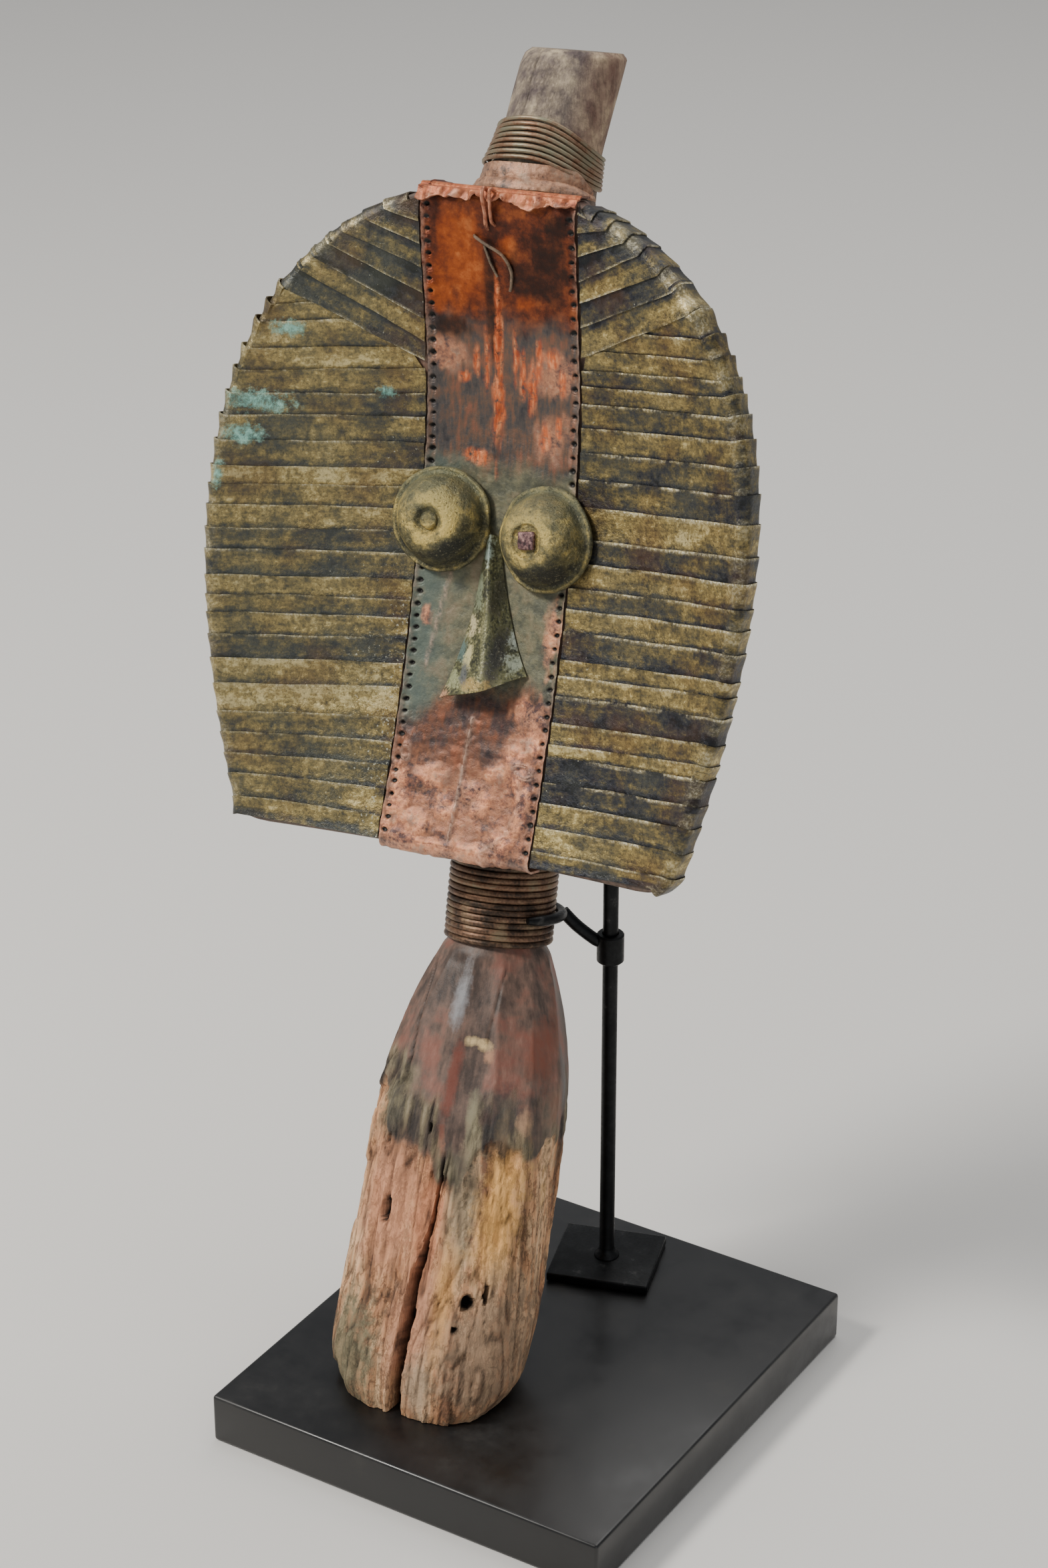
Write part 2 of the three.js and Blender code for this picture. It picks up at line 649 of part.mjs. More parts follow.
// Places a piece whose own axis is +Y at the front of the face, seated on the skin
function seatOnFace(geometry, x, z, radius) {
  const step = 6;
  const slopeX = (woodFront(x + step, z) - woodFront(x - step, z)) / (2 * step);
  const slopeZ = (woodFront(x, z + step) - woodFront(x, z - step)) / (2 * step);
  const normal = new THREE.Vector3(slopeX, -1, slopeZ).normalize();
  let seat = -Infinity;
  const foot = new THREE.Vector3(x, 0, z);
  for (let k = 0; k < 48; k += 1) {
    for (const share of [0.25, 0.5, 0.75, 0.9, 1]) {
      const sx = x + share * radius * Math.cos(k * Math.PI / 24);
      const sz = z + share * radius * Math.sin(k * Math.PI / 24);
      const proud = new THREE.Vector3(sx, skinFront(sx, sz), sz).sub(foot).dot(normal);
      seat = Math.max(seat, proud);
    }
  }
  const turn = new THREE.Quaternion().setFromUnitVectors(new THREE.Vector3(0, 1, 0), normal);
  geometry.applyQuaternion(turn);
  const place = foot.clone().addScaledVector(normal, seat + FIT_GAP);
  geometry.translate(place.x, place.y, place.z);
  return { geometry, normal, place };
}

function eyeDome() {
  const profile = [
    [0, 0], [EYE_RADIUS, 0], [EYE_RADIUS, EYE_FLANGE], [0.84 * EYE_RADIUS, EYE_FLANGE + 0.9],
    [0.78 * EYE_RADIUS, 0.3 * EYE_HEIGHT_OUT], [0.68 * EYE_RADIUS, 0.58 * EYE_HEIGHT_OUT],
    [0.5 * EYE_RADIUS, 0.82 * EYE_HEIGHT_OUT], [0.27 * EYE_RADIUS, 0.97 * EYE_HEIGHT_OUT],
    [0.2 * EYE_RADIUS, EYE_HEIGHT_OUT], [0, EYE_HEIGHT_OUT],
  ];
  return new THREE.LatheGeometry(profile.map(([r, h]) => new THREE.Vector2(r, h)), 20);
}

function roundNail() {
  const profile = [
    [0, 0], [NAIL_RADIUS, 0], [NAIL_RADIUS, 0.4 * NAIL_HEIGHT], [0.6 * NAIL_RADIUS, NAIL_HEIGHT],
    [0, NAIL_HEIGHT],
  ];
  return new THREE.LatheGeometry(profile.map(([r, h]) => new THREE.Vector2(r, h)), 12);
}

function squareNail() {
  const nail = new THREE.CylinderGeometry(0.8 * NAIL_RADIUS, 1.25 * NAIL_RADIUS, NAIL_HEIGHT, 4);
  nail.rotateY(Math.PI / 4);
  nail.translate(0, NAIL_HEIGHT / 2, 0);
  return nail;
}

// A triangular nose with one ridge, cut off below, longer on its left wing
function nose() {
  const corner = (p, out) => new THREE.Vector3(p.x, skinFront(p.x, p.z) - out, p.z);
  const corners = [NOSE_TOP, NOSE_LEFT, NOSE_RIGHT, NOSE_RIDGE];
  const backFace = Math.min(...corners.map((p) => skinFront(p.x, p.z)));
  const flat = (p) => new THREE.Vector3(p.x, backFace - FIT_GAP, p.z);
  const points = [
    flat(NOSE_TOP), flat(NOSE_LEFT), flat(NOSE_RIGHT),
    corner(NOSE_TOP, NOSE_TOP_OUT), corner(NOSE_LEFT, NOSE_WING_OUT), corner(NOSE_RIGHT, NOSE_WING_OUT),
    corner(NOSE_RIDGE, NOSE_RIDGE.out),
    new THREE.Vector3(0.5 * (NOSE_TOP.x + NOSE_RIDGE.x), skinFront(0, -30) - 0.7 * NOSE_RIDGE.out,
      0.5 * (NOSE_TOP.z + NOSE_RIDGE.z)),
  ];
  const faces = [
    [0, 1, 2],
    [0, 3, 4], [0, 4, 1], [0, 5, 3], [0, 2, 5],
    [3, 7, 4], [7, 6, 4], [3, 5, 7], [7, 5, 6],
    [1, 4, 6], [1, 6, 2], [2, 6, 5],
  ];
  return closedMesh(points, faces.map(([a, b, c]) => [a, c, b]));
}

// Touching turns of wire bound round the pole, fused into one ring
function wireBinding(bottom, turns) {
  const count = 2 * turns + 1;
  const outer = [];
  const inner = [];
  for (let k = 0; k < count; k += 1) {
    const section = poleAt(bottom + (k * WIRE_PITCH) / 2);
    const crest = k % 2 === 1 ? WIRE_THICK : 0.45 * WIRE_THICK;
    outer.push(poleRing(section, BINDING_GAP + crest));
  }
  const top = bottom + turns * WIRE_PITCH;
  const margin = 0.2 * WIRE_PITCH;
  const between = POLE.map((section) => section.z)
    .filter((z) => z > bottom + margin && z < top - margin)
    .reverse();
  for (const z of [top, ...between, bottom]) inner.push(poleRing(poleAt(z), BINDING_GAP));
  return loftRings(outer.concat(inner), true);
}

// The stand's pieces, each in the base's own frame

function baseSlab() {
  const outline = new THREE.Shape();
  const x = BASE_WIDTH / 2 - BASE_BEVEL;
  const y = BASE_DEPTH / 2 - BASE_BEVEL;
  outline.moveTo(-x, -y).lineTo(x, -y).lineTo(x, y).lineTo(-x, y).closePath();
  const slab = new THREE.ExtrudeGeometry(outline, {
    depth: BASE_THICK - 2 * BASE_BEVEL, bevelEnabled: true, bevelSegments: 2,
    bevelSize: BASE_BEVEL, bevelThickness: BASE_BEVEL,
  });
  slab.translate(0, 0, BASE_BEVEL);
  return slab;
}

const rodY = BASE_DEPTH / 2 - ROD_FROM_BACK;
const footTop = BASE_THICK + FIT_GAP + FOOT_THICK;

function footPlate() {
  const plate = new THREE.BoxGeometry(FOOT_WIDTH, FOOT_DEPTH, FOOT_THICK);
  plate.rotateZ(FOOT_TURN);
  plate.translate(ROD_X, rodY, BASE_THICK + FIT_GAP + FOOT_THICK / 2);
  return plate;
}

function rod() {
  const top = BASE_THICK + ROD_HEIGHT;
  const bottom = footTop + FIT_GAP;
  const profile = [
    [0, bottom], [ROD_RADIUS, bottom], [ROD_RADIUS, top - ROD_CHAMFER],
    [ROD_RADIUS - ROD_CHAMFER, top], [0, top],
  ];
  const bar = new THREE.LatheGeometry(profile.map(([r, h]) => new THREE.Vector2(r, h)), 16);
  bar.rotateX(Math.PI / 2);
  bar.translate(ROD_X, rodY, 0);
  return bar;
}

// The cradle: a sleeve on the rod, an arm, and an open ring behind the lower end of the neck
function neckCradle() {
  const sleeveInner = ROD_RADIUS + FIT_GAP;
  const sleeveOuter = sleeveInner + SLEEVE_WALL;
  const middle = BASE_THICK + SLEEVE_HEIGHT;
  const low = middle - SLEEVE_LENGTH / 2;
  const high = middle + SLEEVE_LENGTH / 2;
  const loop = [
    [sleeveInner, low], [sleeveOuter, low], [sleeveOuter, high], [sleeveInner, high],
    [sleeveInner, low],
  ];
  const sleeve = new THREE.LatheGeometry(loop.map(([r, h]) => new THREE.Vector2(r, h)), 12);
  sleeve.rotateX(Math.PI / 2);
  sleeve.translate(ROD_X, rodY, 0);

  const toFigure = figurePose.matrixWorld.clone().invert();
  const ringZ = NECK_BOTTOM + CRADLE_HEIGHT;
  const section = poleAt(ringZ);
  const ringInner = section.a + BINDING_GAP + WIRE_THICK + FIT_GAP;
  const ringOuter = ringInner + CRADLE_BAR;
  const toRod = new THREE.Vector3(ROD_X, rodY, middle).applyMatrix4(toFigure);
  const heading = Math.atan2(toRod.y - section.y, toRod.x);
  const arc = new THREE.Shape();
  arc.absarc(0, 0, ringOuter, heading - CRADLE_SWEEP / 2, heading + CRADLE_SWEEP / 2, false);
  arc.absarc(0, 0, ringInner, heading + CRADLE_SWEEP / 2, heading - CRADLE_SWEEP / 2, true);
  const ring = new THREE.ExtrudeGeometry(arc, {
    depth: CRADLE_BAR, bevelEnabled: false, curveSegments: 9,
  });
  ring.translate(0, section.y, ringZ - CRADLE_BAR / 2);
  ring.applyMatrix4(figurePose.matrixWorld);

  const outOfRing = new THREE.Vector3(Math.cos(heading), Math.sin(heading), 0);
  const ringPoint = outOfRing.clone().multiplyScalar(ringInner + 0.55 * CRADLE_BAR);
  ringPoint.add(new THREE.Vector3(0, section.y, ringZ));
  ringPoint.applyMatrix4(figurePose.matrixWorld);
  const sleeveCentre = new THREE.Vector3(ROD_X, rodY, middle);
  const towards = ringPoint.clone().sub(sleeveCentre).setZ(0).normalize();
  const sleevePoint = sleeveCentre.clone().addScaledVector(towards, sleeveInner + 0.6 * SLEEVE_WALL);
  const bend = sleevePoint.clone().lerp(ringPoint, 0.45);
  bend.z = THREE.MathUtils.lerp(sleevePoint.z, ringPoint.z, 0.2);
  const path = new THREE.CatmullRomCurve3([sleevePoint, bend, ringPoint]);
  const round = new THREE.Shape();
  round.absarc(0, 0, ARM_RADIUS, 0, 2 * Math.PI, false);
  const arm = new THREE.ExtrudeGeometry(round, { steps: 5, extrudePath: path, curveSegments: 4 });
  const bored = toSolid(arm).subtract(toSolid(boreFor(sleeveInner, low, high)));
  return toGeometry(bored.add(toSolid(sleeve)).add(toSolid(ring)));
}

function boreFor(radius, low, high) {
  const bore = new THREE.CylinderGeometry(radius, radius, 3 * (high - low), 12);
  bore.rotateX(Math.PI / 2);
  bore.translate(ROD_X, rodY, (low + high) / 2);
  return bore;
}

// The object as a scene graph
const object = new THREE.Group();
object.add(figurePose);

function addNode(parent, name, geometry, material) {
  const mesh = new THREE.Mesh(geometry, material);
  mesh.name = name;
  parent.add(mesh);
}

addNode(object, 'stand_base', baseSlab(), BLACK_LACQUER);
addNode(object, 'stand_foot_plate', footPlate(), BLACK_STEEL);
addNode(object, 'stand_rod', rod(), BLACK_STEEL);
addNode(object, 'stand_neck_cradle', neckCradle(), BLACK_STEEL);

addNode(figurePose, 'wood_core', woodCore(), AGED_WOOD);
addNode(figurePose, 'face_plate', copperPlate(), COPPER);
addNode(figurePose, 'nose', nose(), NOSE_METAL);
const neckBinding = wireBinding(NECK_BOTTOM + BINDING_CLEAR / 2, NECK_TURNS);
addNode(figurePose, 'neck_wire', neckBinding, WIRE_COPPER);
const knotBinding = wireBinding(KNOT_BOTTOM + BINDING_CLEAR, KNOT_TURNS);
addNode(figurePose, 'topknot_wire', knotBinding, WIRE_COPPER);

for (const [word, side] of [['left', -1], ['right', 1]]) {
  const z = side < 0 ? 0.5 * EYE_DROP : -0.5 * EYE_DROP;
  const eye = seatOnFace(eyeDome(), side * EYE_SPACING / 2, z, EYE_RADIUS);
  addNode(figurePose, `eye_${word}`, eye.geometry, EYE_BRASS);
  const nail = side < 0 ? roundNail() : squareNail();
  const ownAxis = new THREE.Vector3(0, 1, 0);
  nail.applyQuaternion(new THREE.Quaternion().setFromUnitVectors(ownAxis, eye.normal));
  const top = eye.place.clone().addScaledVector(eye.normal, EYE_HEIGHT_OUT + FIT_GAP);
  nail.translate(top.x, top.y, top.z);
  addNode(figurePose, `eye_nail_${word}`, nail, DARK_BRASS);
  addNode(figurePose, `temple_strips_${word}`, fan(side), DARK_BRASS);
  for (let k = 0; k < LEVEL_STRIPS; k += 1) {
    const number = String(k + 1).padStart(2, '0');
    const metal = k % 3 === 1 ? DARK_BRASS : BRASS;
    addNode(figurePose, `strip_${word}_${number}`, levelStrip(side, k), metal);
  }
}

export default object;
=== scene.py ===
# %% [markdown]
# # A reliquary guardian of wood, brass and copper, on its stand
# The real figure is one carving: a topknot, a hollowed oval head and a long stem that leans back.
# Brass strips and a copper plate clothe its hollow face, and copper wire binds both of its necks.
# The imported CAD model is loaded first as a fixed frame. Every detailed piece made below lies where
# a CAD node lies, rides on the same body and stands for that node, so nothing has to be fitted.

# %% Load the fixed frame
import math

import bmesh
import bpy
from mathutils import Matrix, Vector, noise


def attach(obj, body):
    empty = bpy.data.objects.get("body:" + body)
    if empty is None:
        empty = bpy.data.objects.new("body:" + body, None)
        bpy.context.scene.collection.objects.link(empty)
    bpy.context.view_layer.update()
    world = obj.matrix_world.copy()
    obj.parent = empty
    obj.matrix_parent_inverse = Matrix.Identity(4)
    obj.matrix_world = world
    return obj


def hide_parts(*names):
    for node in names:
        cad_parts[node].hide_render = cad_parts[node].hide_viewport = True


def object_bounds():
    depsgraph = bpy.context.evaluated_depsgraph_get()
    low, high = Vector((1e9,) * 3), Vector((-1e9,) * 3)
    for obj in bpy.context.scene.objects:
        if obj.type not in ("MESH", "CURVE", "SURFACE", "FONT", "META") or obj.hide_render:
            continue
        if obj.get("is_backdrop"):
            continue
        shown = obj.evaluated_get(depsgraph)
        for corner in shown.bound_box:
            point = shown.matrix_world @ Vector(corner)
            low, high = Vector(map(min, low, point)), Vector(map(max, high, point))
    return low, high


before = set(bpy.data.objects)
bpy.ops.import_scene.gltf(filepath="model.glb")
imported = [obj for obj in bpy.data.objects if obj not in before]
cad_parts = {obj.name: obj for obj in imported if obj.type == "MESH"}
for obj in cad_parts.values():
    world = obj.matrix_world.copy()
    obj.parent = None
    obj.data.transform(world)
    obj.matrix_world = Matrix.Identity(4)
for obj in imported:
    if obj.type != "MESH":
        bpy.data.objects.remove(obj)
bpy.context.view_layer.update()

# %% [markdown]
# ## Camera and light
# The photograph looks down at the figure from its right, with a long lens. The camera's place was
# worked out from the base's edges and the head's outline. A soft light at the upper left gives the
# metal long highlights, a weak one at the right keeps its dark side readable, and a wide one
# overhead, a little behind, lights the topknot, the rims and the top of the block.

# %% Camera
CAMERA_PLACE = (0.6685, -1.0763, 0.9287)
CAMERA_TILT, CAMERA_TURN = 63, 32
lens = bpy.data.cameras.new("photo_camera")
lens.lens, lens.sensor_width = 85, 36
camera = bpy.data.objects.new("photo_camera", lens)
camera.location = CAMERA_PLACE
camera.rotation_euler = (math.radians(CAMERA_TILT), 0, math.radians(CAMERA_TURN))
bpy.context.collection.objects.link(camera)
bpy.context.scene.camera = camera
print("camera", CAMERA_PLACE)

# %% Lights and world
FIGURE_MIDDLE = Vector((-0.04, 0.03, 0.3))


def soft_light(name, place, size, watts, colour):
    """A square area light that faces the figure."""
    light = bpy.data.lights.new(name, "AREA")
    light.size, light.energy, light.color = size, watts, colour
    lamp = bpy.data.objects.new(name, light)
    lamp.location = place
    lamp.rotation_euler = (FIGURE_MIDDLE - Vector(place)).to_track_quat("-Z", "Y").to_euler()
    bpy.context.collection.objects.link(lamp)


soft_light("key_left", (-1.15, -1.1, 1.85), 0.5, 50, (1.0, 0.96, 0.9))
soft_light("fill_right", (1.5, -1.2, 0.8), 1.5, 4.5, (0.94, 0.96, 1.0))
soft_light("overhead", (0.1, 0.9, 2.1), 1.8, 22, (1.0, 0.98, 0.95))
world = bpy.data.worlds.new("studio_air")
world.use_nodes = True
background = world.node_tree.nodes["Background"].inputs
background["Color"].default_value = (0.8, 0.82, 0.85, 1)
background["Strength"].default_value = 0.4
bpy.context.scene.world = world
print("three soft lights in a pale room")

# %% [markdown]
# ## Nodes for the finishes
# A finish is a small tree of shader nodes. One function adds a node, sets it and links it, so each
# material below reads as a list. Colours are written as sRGB hex values, as a paint chart gives
# them, and turned to the linear values that the renderer works with. Sizes are in millimetres.

# %% Node helpers
MM = 0.001


def linear(hex_colour):
    """The linear RGBA of an sRGB hex colour."""
    parts = [int(hex_colour[k:k + 2], 16) / 255 for k in (1, 3, 5)]
    return [p / 12.92 if p <= 0.04045 else ((p + 0.055) / 1.055) ** 2.4 for p in parts] + [1.0]


def node(tree, kind, inputs=None, stops=None, **settings):
    """Adds a shader node with settings; inputs name sockets and give numbers, hex colours or nodes."""
    made = tree.nodes.new("ShaderNode" + kind)
    for key, value in settings.items():
        setattr(made, key, value)
    for key, value in (inputs or {}).items():
        free = [s for s in made.inputs if s.enabled]
        socket = free[key] if isinstance(key, int) else next(s for s in free if s.name == key)
        if isinstance(value, bpy.types.Node):
            value = next(s for s in value.outputs if s.enabled)
        if isinstance(value, bpy.types.NodeSocket):
            tree.links.new(value, socket)
        else:
            socket.default_value = linear(value) if isinstance(value, str) else value
    if stops:
        ramp = made.color_ramp.elements
        while len(ramp) < len(stops):
            ramp.new(0.5)
        for element, (place, colour) in zip(ramp, stops):
            element.position = place
            element.color = linear(colour)
    return made


def new_material(name):
    """A material with an empty node tree."""
    material = bpy.data.materials.new(name)
    material.use_nodes = True
    material.node_tree.nodes.clear()
    return material, material.node_tree


print("linear of #7fc4b4:", [round(v, 3) for v in linear("#7fc4b4")])

# %% [markdown]
# ## The figure's own frame
# It is easiest to describe the face upright, with the origin between the eyes, x to the viewer's
# right and y to the back. One matrix then leans, rolls and turns it onto the stand and makes metres
# of millimetres. The materials use the inverse of that matrix, so a patch of verdigris or a
# rubbed brow can be given by its place on the face.

# %% Figure frame
LEAN, ROLL, TURN = 18, -3, 5
BASE_THICK, EYE_HEIGHT = 22, 337
EYE_PLACE = Vector((-50, 53, BASE_THICK + EYE_HEIGHT))
TILT = (Matrix.Rotation(math.radians(TURN), 4, "Z") @ Matrix.Rotation(math.radians(ROLL), 4, "Y")
        @ Matrix.Rotation(math.radians(-LEAN), 4, "X"))
FIGURE = Matrix.Translation(EYE_PLACE * MM) @ TILT @ Matrix.Scale(MM, 4)
STAND = Matrix.Scale(MM, 4)


def figure_space(tree):
    """The place on the upright figure, in metres from the point between its eyes."""
    back = TILT.inverted()
    place = node(tree, "TexCoord").outputs["Object"]
    return node(tree, "Mapping", {"Vector": place, "Rotation": back.to_euler(),
                                  "Location": -(back @ (EYE_PLACE * MM))})


def wobble(size, x, y=0.0, z=0.0, seed=0):
    """Smooth noise from -1 to 1 whose waves are about size long."""
    return noise.noise(Vector((x / size + 13.7 * seed, y / size - 5.1 * seed, z / size + 0.37 + seed)))


def bell(distance, width):
    """1 in the middle of a mark and near 0 past its width."""
    return math.exp(-(distance / width) ** 2)


def eased(value, low, high):
    """0 below low, 1 above high, and smooth between them."""
    share = min(1.0, max(0.0, (value - low) / (high - low)))
    return share * share * (3 - 2 * share)


print("eye point in metres:", tuple(round(v, 3) for v in FIGURE @ Vector((0, 0, 0))))

# %% Put a finished mesh into the scene


def new_mesh(*marks):
    """An empty bmesh with a named number on each vertex for every mark that a material reads."""
    bm = bmesh.new()
    return bm, [bm.verts.layers.float.new(mark) for mark in marks]


def set_marks(vert, layers, values):
    """Writes a vertex's number for each mark."""
    for layer, value in zip(layers, values):
        vert[layer] = value


def flat_grid(bm, columns, rows):
    """The vertices of a grid, row by row, ready to be laid over a form."""
    return bmesh.ops.create_grid(bm, x_segments=columns - 1, y_segments=rows - 1, size=1)["verts"]


def into_sheet(bm, grid, thickness, sample=4):
    """Turns a laid grid's faces to the front and gives it its thickness.

    One sample face in full view of the front tells which way the whole sheet looks.
    """
    faces = list(dict.fromkeys(face for vert in grid for face in vert.link_faces))
    faces[sample].normal_update()
    if faces[sample].normal.y > 0:
        bmesh.ops.reverse_faces(bm, faces=faces)
    bmesh.ops.solidify(bm, geom=faces, thickness=thickness)


def make_piece(bm, name, material, nodes, to_object=FIGURE, sharp=40):
    """Turns a bmesh in millimetres into a piece that rides on the object and stands for its nodes."""
    bmesh.ops.transform(bm, matrix=to_object, verts=bm.verts)
    mesh = bpy.data.meshes.new(name)
    bm.to_mesh(mesh)
    bm.free()
    mesh.shade_smooth()
    mesh.set_sharp_from_angle(angle=math.radians(sharp))
    mesh.materials.append(material)
    piece = bpy.data.objects.new(name, mesh)
    bpy.context.collection.objects.link(piece)
    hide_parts(*nodes)
    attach(piece, "root")


print("pieces ride on root")

# %% [markdown]
# ## The shape of the head
# The head board is an oval, wide at the eyes and cut off straight at the chin. Its front is hollowed
# like a dish and its rim is rolled a little. A few short functions give its outline, its front and
# its back, and everything nailed onto the face reads its place from them.

# %% Head board shape
HEAD_TOP, HEAD_BOTTOM = 130.0, -129.0
HALF_WIDTH, WIDEST_Z, CROWN_REACH, CROWN_POWER = 116.5, -9.0, 142.0, 2.4
JAW_TAPER, JAW_POWER, CORNER = 22.0, 1.68, 8.0
RIM_THICK, RIM_ROUND, RIM_FORWARD, CHIN_SWEEP, CROWN_SWEEP = 12.5, 2.6, 26.2, 8.0, 3.0
FACE_DEPTH, BROW_RISE, BROW_START, BROW_LENGTH = 3.4, 29.0, 10.0, 118.0
CHIN_RISE, CHIN_LENGTH, CHIN_POWER = 13.0, 140.0, 2.5
BACK_DEPTH, BACK_SLOPE, BACK_ROUNDNESS = 18.0, 0.076, 1.2
PLATE_HALF = 33.5


def half_width(z):
    """Half the board's width at a height."""
    above = z - WIDEST_Z
    if above >= 0:
        width = HALF_WIDTH * math.sqrt(1 - min(1, above / CROWN_REACH) ** CROWN_POWER)
    else:
        width = HALF_WIDTH - JAW_TAPER * (-above / (WIDEST_Z - HEAD_BOTTOM)) ** JAW_POWER
    low = min(CORNER, HEAD_BOTTOM + CORNER - z)
    if low > 0:
        width -= CORNER - math.sqrt(CORNER ** 2 - low ** 2)
    return max(width, PLATE_HALF)


def rim_front(z):
    """How far back the front of the rim lies."""
    share = z / (HEAD_BOTTOM if z < 0 else HEAD_TOP)
    return -RIM_FORWARD + (CHIN_SWEEP if z < 0 else CROWN_SWEEP) * share ** 2


def face_centre(z):
    """How far back the wood lies on the face's middle line."""
    if z > BROW_START:
        share = min(1, (z - BROW_START) / BROW_LENGTH)
        return FACE_DEPTH - BROW_RISE * (1 - math.cos(share * math.pi / 2))
    return FACE_DEPTH - CHIN_RISE * ((BROW_START - z) / CHIN_LENGTH) ** CHIN_POWER


def wood_front(x, z):
    """The hollow front of the board."""
    centre = face_centre(z)
    return centre + (rim_front(z) - centre) * min(1, abs(x) / half_width(z)) ** 2


def wood_back(x, z):
    """The rounded back of the board."""
    edge = rim_front(z) + RIM_THICK
    across = min(1, abs(x) / half_width(z))
    return edge + (BACK_DEPTH - BACK_SLOPE * z - edge) * (1 - across ** 2) ** BACK_ROUNDNESS


def rim_point(side, z):
    """A point of the outline, and the outward direction there."""
    slope = half_width(z + 0.5) - half_width(z - 0.5)
    length = math.hypot(1, slope)
    return side * half_width(z), side / length, -slope / length


print("head board:", round(2 * half_width(WIDEST_Z)), "mm wide,", HEAD_TOP - HEAD_BOTTOM, "mm tall")

# %% [markdown]
# ## The brass strips
# The smith cut thin brass sheet into strips about nine millimetres wide, bent each one over the rim
# and nailed it down, every strip lapping its neighbour. A strip could be a plain box, but then all
# joints would look ruled. Here each one starts as a flat grid that is laid over the head: its path
# runs from the plate across the hollow, round the rim and onto the back. Its free edge is lifted
# and wavers, and small dents come from noise. Solidify gives it the sheet's thickness.

# %% Strip paths
SKIN_GAP, SHEET = 0.6, 0.55
BACK_LAP = 13.0
STRIP_START = PLATE_HALF + 0.7
FACE_STEPS = 44
PARTS = (("face", FACE_STEPS), ("front bend", 5), ("rim", 3), ("back bend", 5))
STATIONS = [(part, k / steps) for part, steps in PARTS for k in range(steps)]
STATIONS += [("lap", k / 6) for k in range(7)]
ROWS = (0, 0.035, 0.1, 0.22, 0.36, 0.5, 0.64, 0.78, 0.9, 0.965, 1)
STRIP_MARKS = ("tone", "rub_and_highlight", "along", "across")


def strip_point(side, start, inner, outer, off, station, proud=0.0):
    """A point at height off over the wood, on a line from (start, inner) to the rim at outer."""
    part, share = station
    # On the left the brass keeps a square corner over the rounded wood, as a bent sheet does
    rim_x, nx, nz = rim_point(side, outer if side > 0 else max(outer, HEAD_BOTTOM + CORNER))
    off += proud * (part in ("front bend", "rim", "back bend"))
    x, z = rim_x - RIM_ROUND * nx, outer - RIM_ROUND * nz
    front, back = wood_front(x, z) + RIM_ROUND, wood_back(x, z) - RIM_ROUND
    reach = RIM_ROUND + off
    turn = share * math.pi / 2
    if part == "face":
        x, z = side * start + (x - side * start) * share, inner + (z - inner) * share
        return Vector((x, wood_front(x, z) - off, z))
    if part == "front bend":
        out = reach * math.sin(turn)
        return Vector((x + nx * out, front - reach * math.cos(turn), z + nz * out))
    if part == "rim":
        return Vector((x + nx * reach, front + (back - front) * share, z + nz * reach))
    if part == "back bend":
        out = reach * math.cos(turn)
        return Vector((x + nx * out, back + reach * math.sin(turn), z + nz * out))
    inward = Vector((-x, -0.5 * z)).normalized() * BACK_LAP * share
    return Vector((x + inward.x, wood_back(x + inward.x, z + inward.y) + off, z + inward.y))


print("grid of a strip:", len(STATIONS), "by", len(ROWS))

# %% One strip


def add_strip(bm, marks, side, lower, upper, tone, seed, free="upper"):
    """Lays one strip. An edge is (start, inner height, rim height, lift at its inner end, lift)."""
    columns = len(STATIONS)
    grid = flat_grid(bm, columns, len(ROWS))
    width = abs(upper[2] - lower[2])
    middle = [strip_point(side, *[0.5 * (a + b) for a, b in zip(lower[:3], upper[:3])], 1.0, s)
              for s in STATIONS]
    run = [0.0]
    for a, b in zip(middle, middle[1:]):
        run.append(run[-1] + (b - a).length)
    level = 0.5 * (lower[2] + upper[2])
    slant = (level - 0.5 * (lower[1] + upper[1])) / (half_width(level) - RIM_ROUND - STRIP_START)
    for k, vert in enumerate(grid):
        column, t = k % columns, ROWS[k // columns]
        loose = t if free == "upper" else 1 - t
        # The loose edge wavers and stands off, and small dents run over the whole strip
        near = eased(loose, 0.25, 1)
        wave = near * (0.55 * wobble(24, run[column], seed=seed) + 0.2 * wobble(7, run[column], seed=seed))
        start, inner, outer, first, lift = (a + (b - a) * t for a, b in zip(lower, upper))
        lift = first + (lift - first) * eased(run[column], 2, 11)
        dent = 0.2 * wobble(9, run[column], t * width, seed) + 0.1 * wobble(4, run[column], t * width, seed)
        off = SKIN_GAP + SHEET + max(0, lift * near + 0.5 * near * dent + 0.4 * abs(dent))
        # Strips were cut square, so their ends stand a little proud of the curved rim
        square_cut = max(0.0, half_width(level) - (outer - level) * slant - half_width(outer))
        proud = min(1.4, 0.5 * square_cut) if side < 0 else min(0.7, 0.3 * square_cut)
        proud *= (1 - eased(level, 100, 116)) * eased(level, -124, -108)
        vert.co = strip_point(side, start, inner + wave, outer + wave, off, STATIONS[column], proud)
        # A strip's tone is darkened at its foot, a painted shade under its neighbour's edge, and the rub
        # mark, wear and painted highlight together, lies at its loose edge and its bend
        bend = bell(run[column] - run[FACE_STEPS + 2], 3.5)
        set_marks(vert, marks, (tone - 0.32 * (1 - eased(loose * width, 2.0, 3.8)),
                                max(eased(loose, 0.95, 0.985), 0.3 * bend),
                                run[column] * MM, (t * width + 40 * seed) * MM))
    into_sheet(bm, grid, SHEET)


print("sheet thickness:", SHEET, "mm")
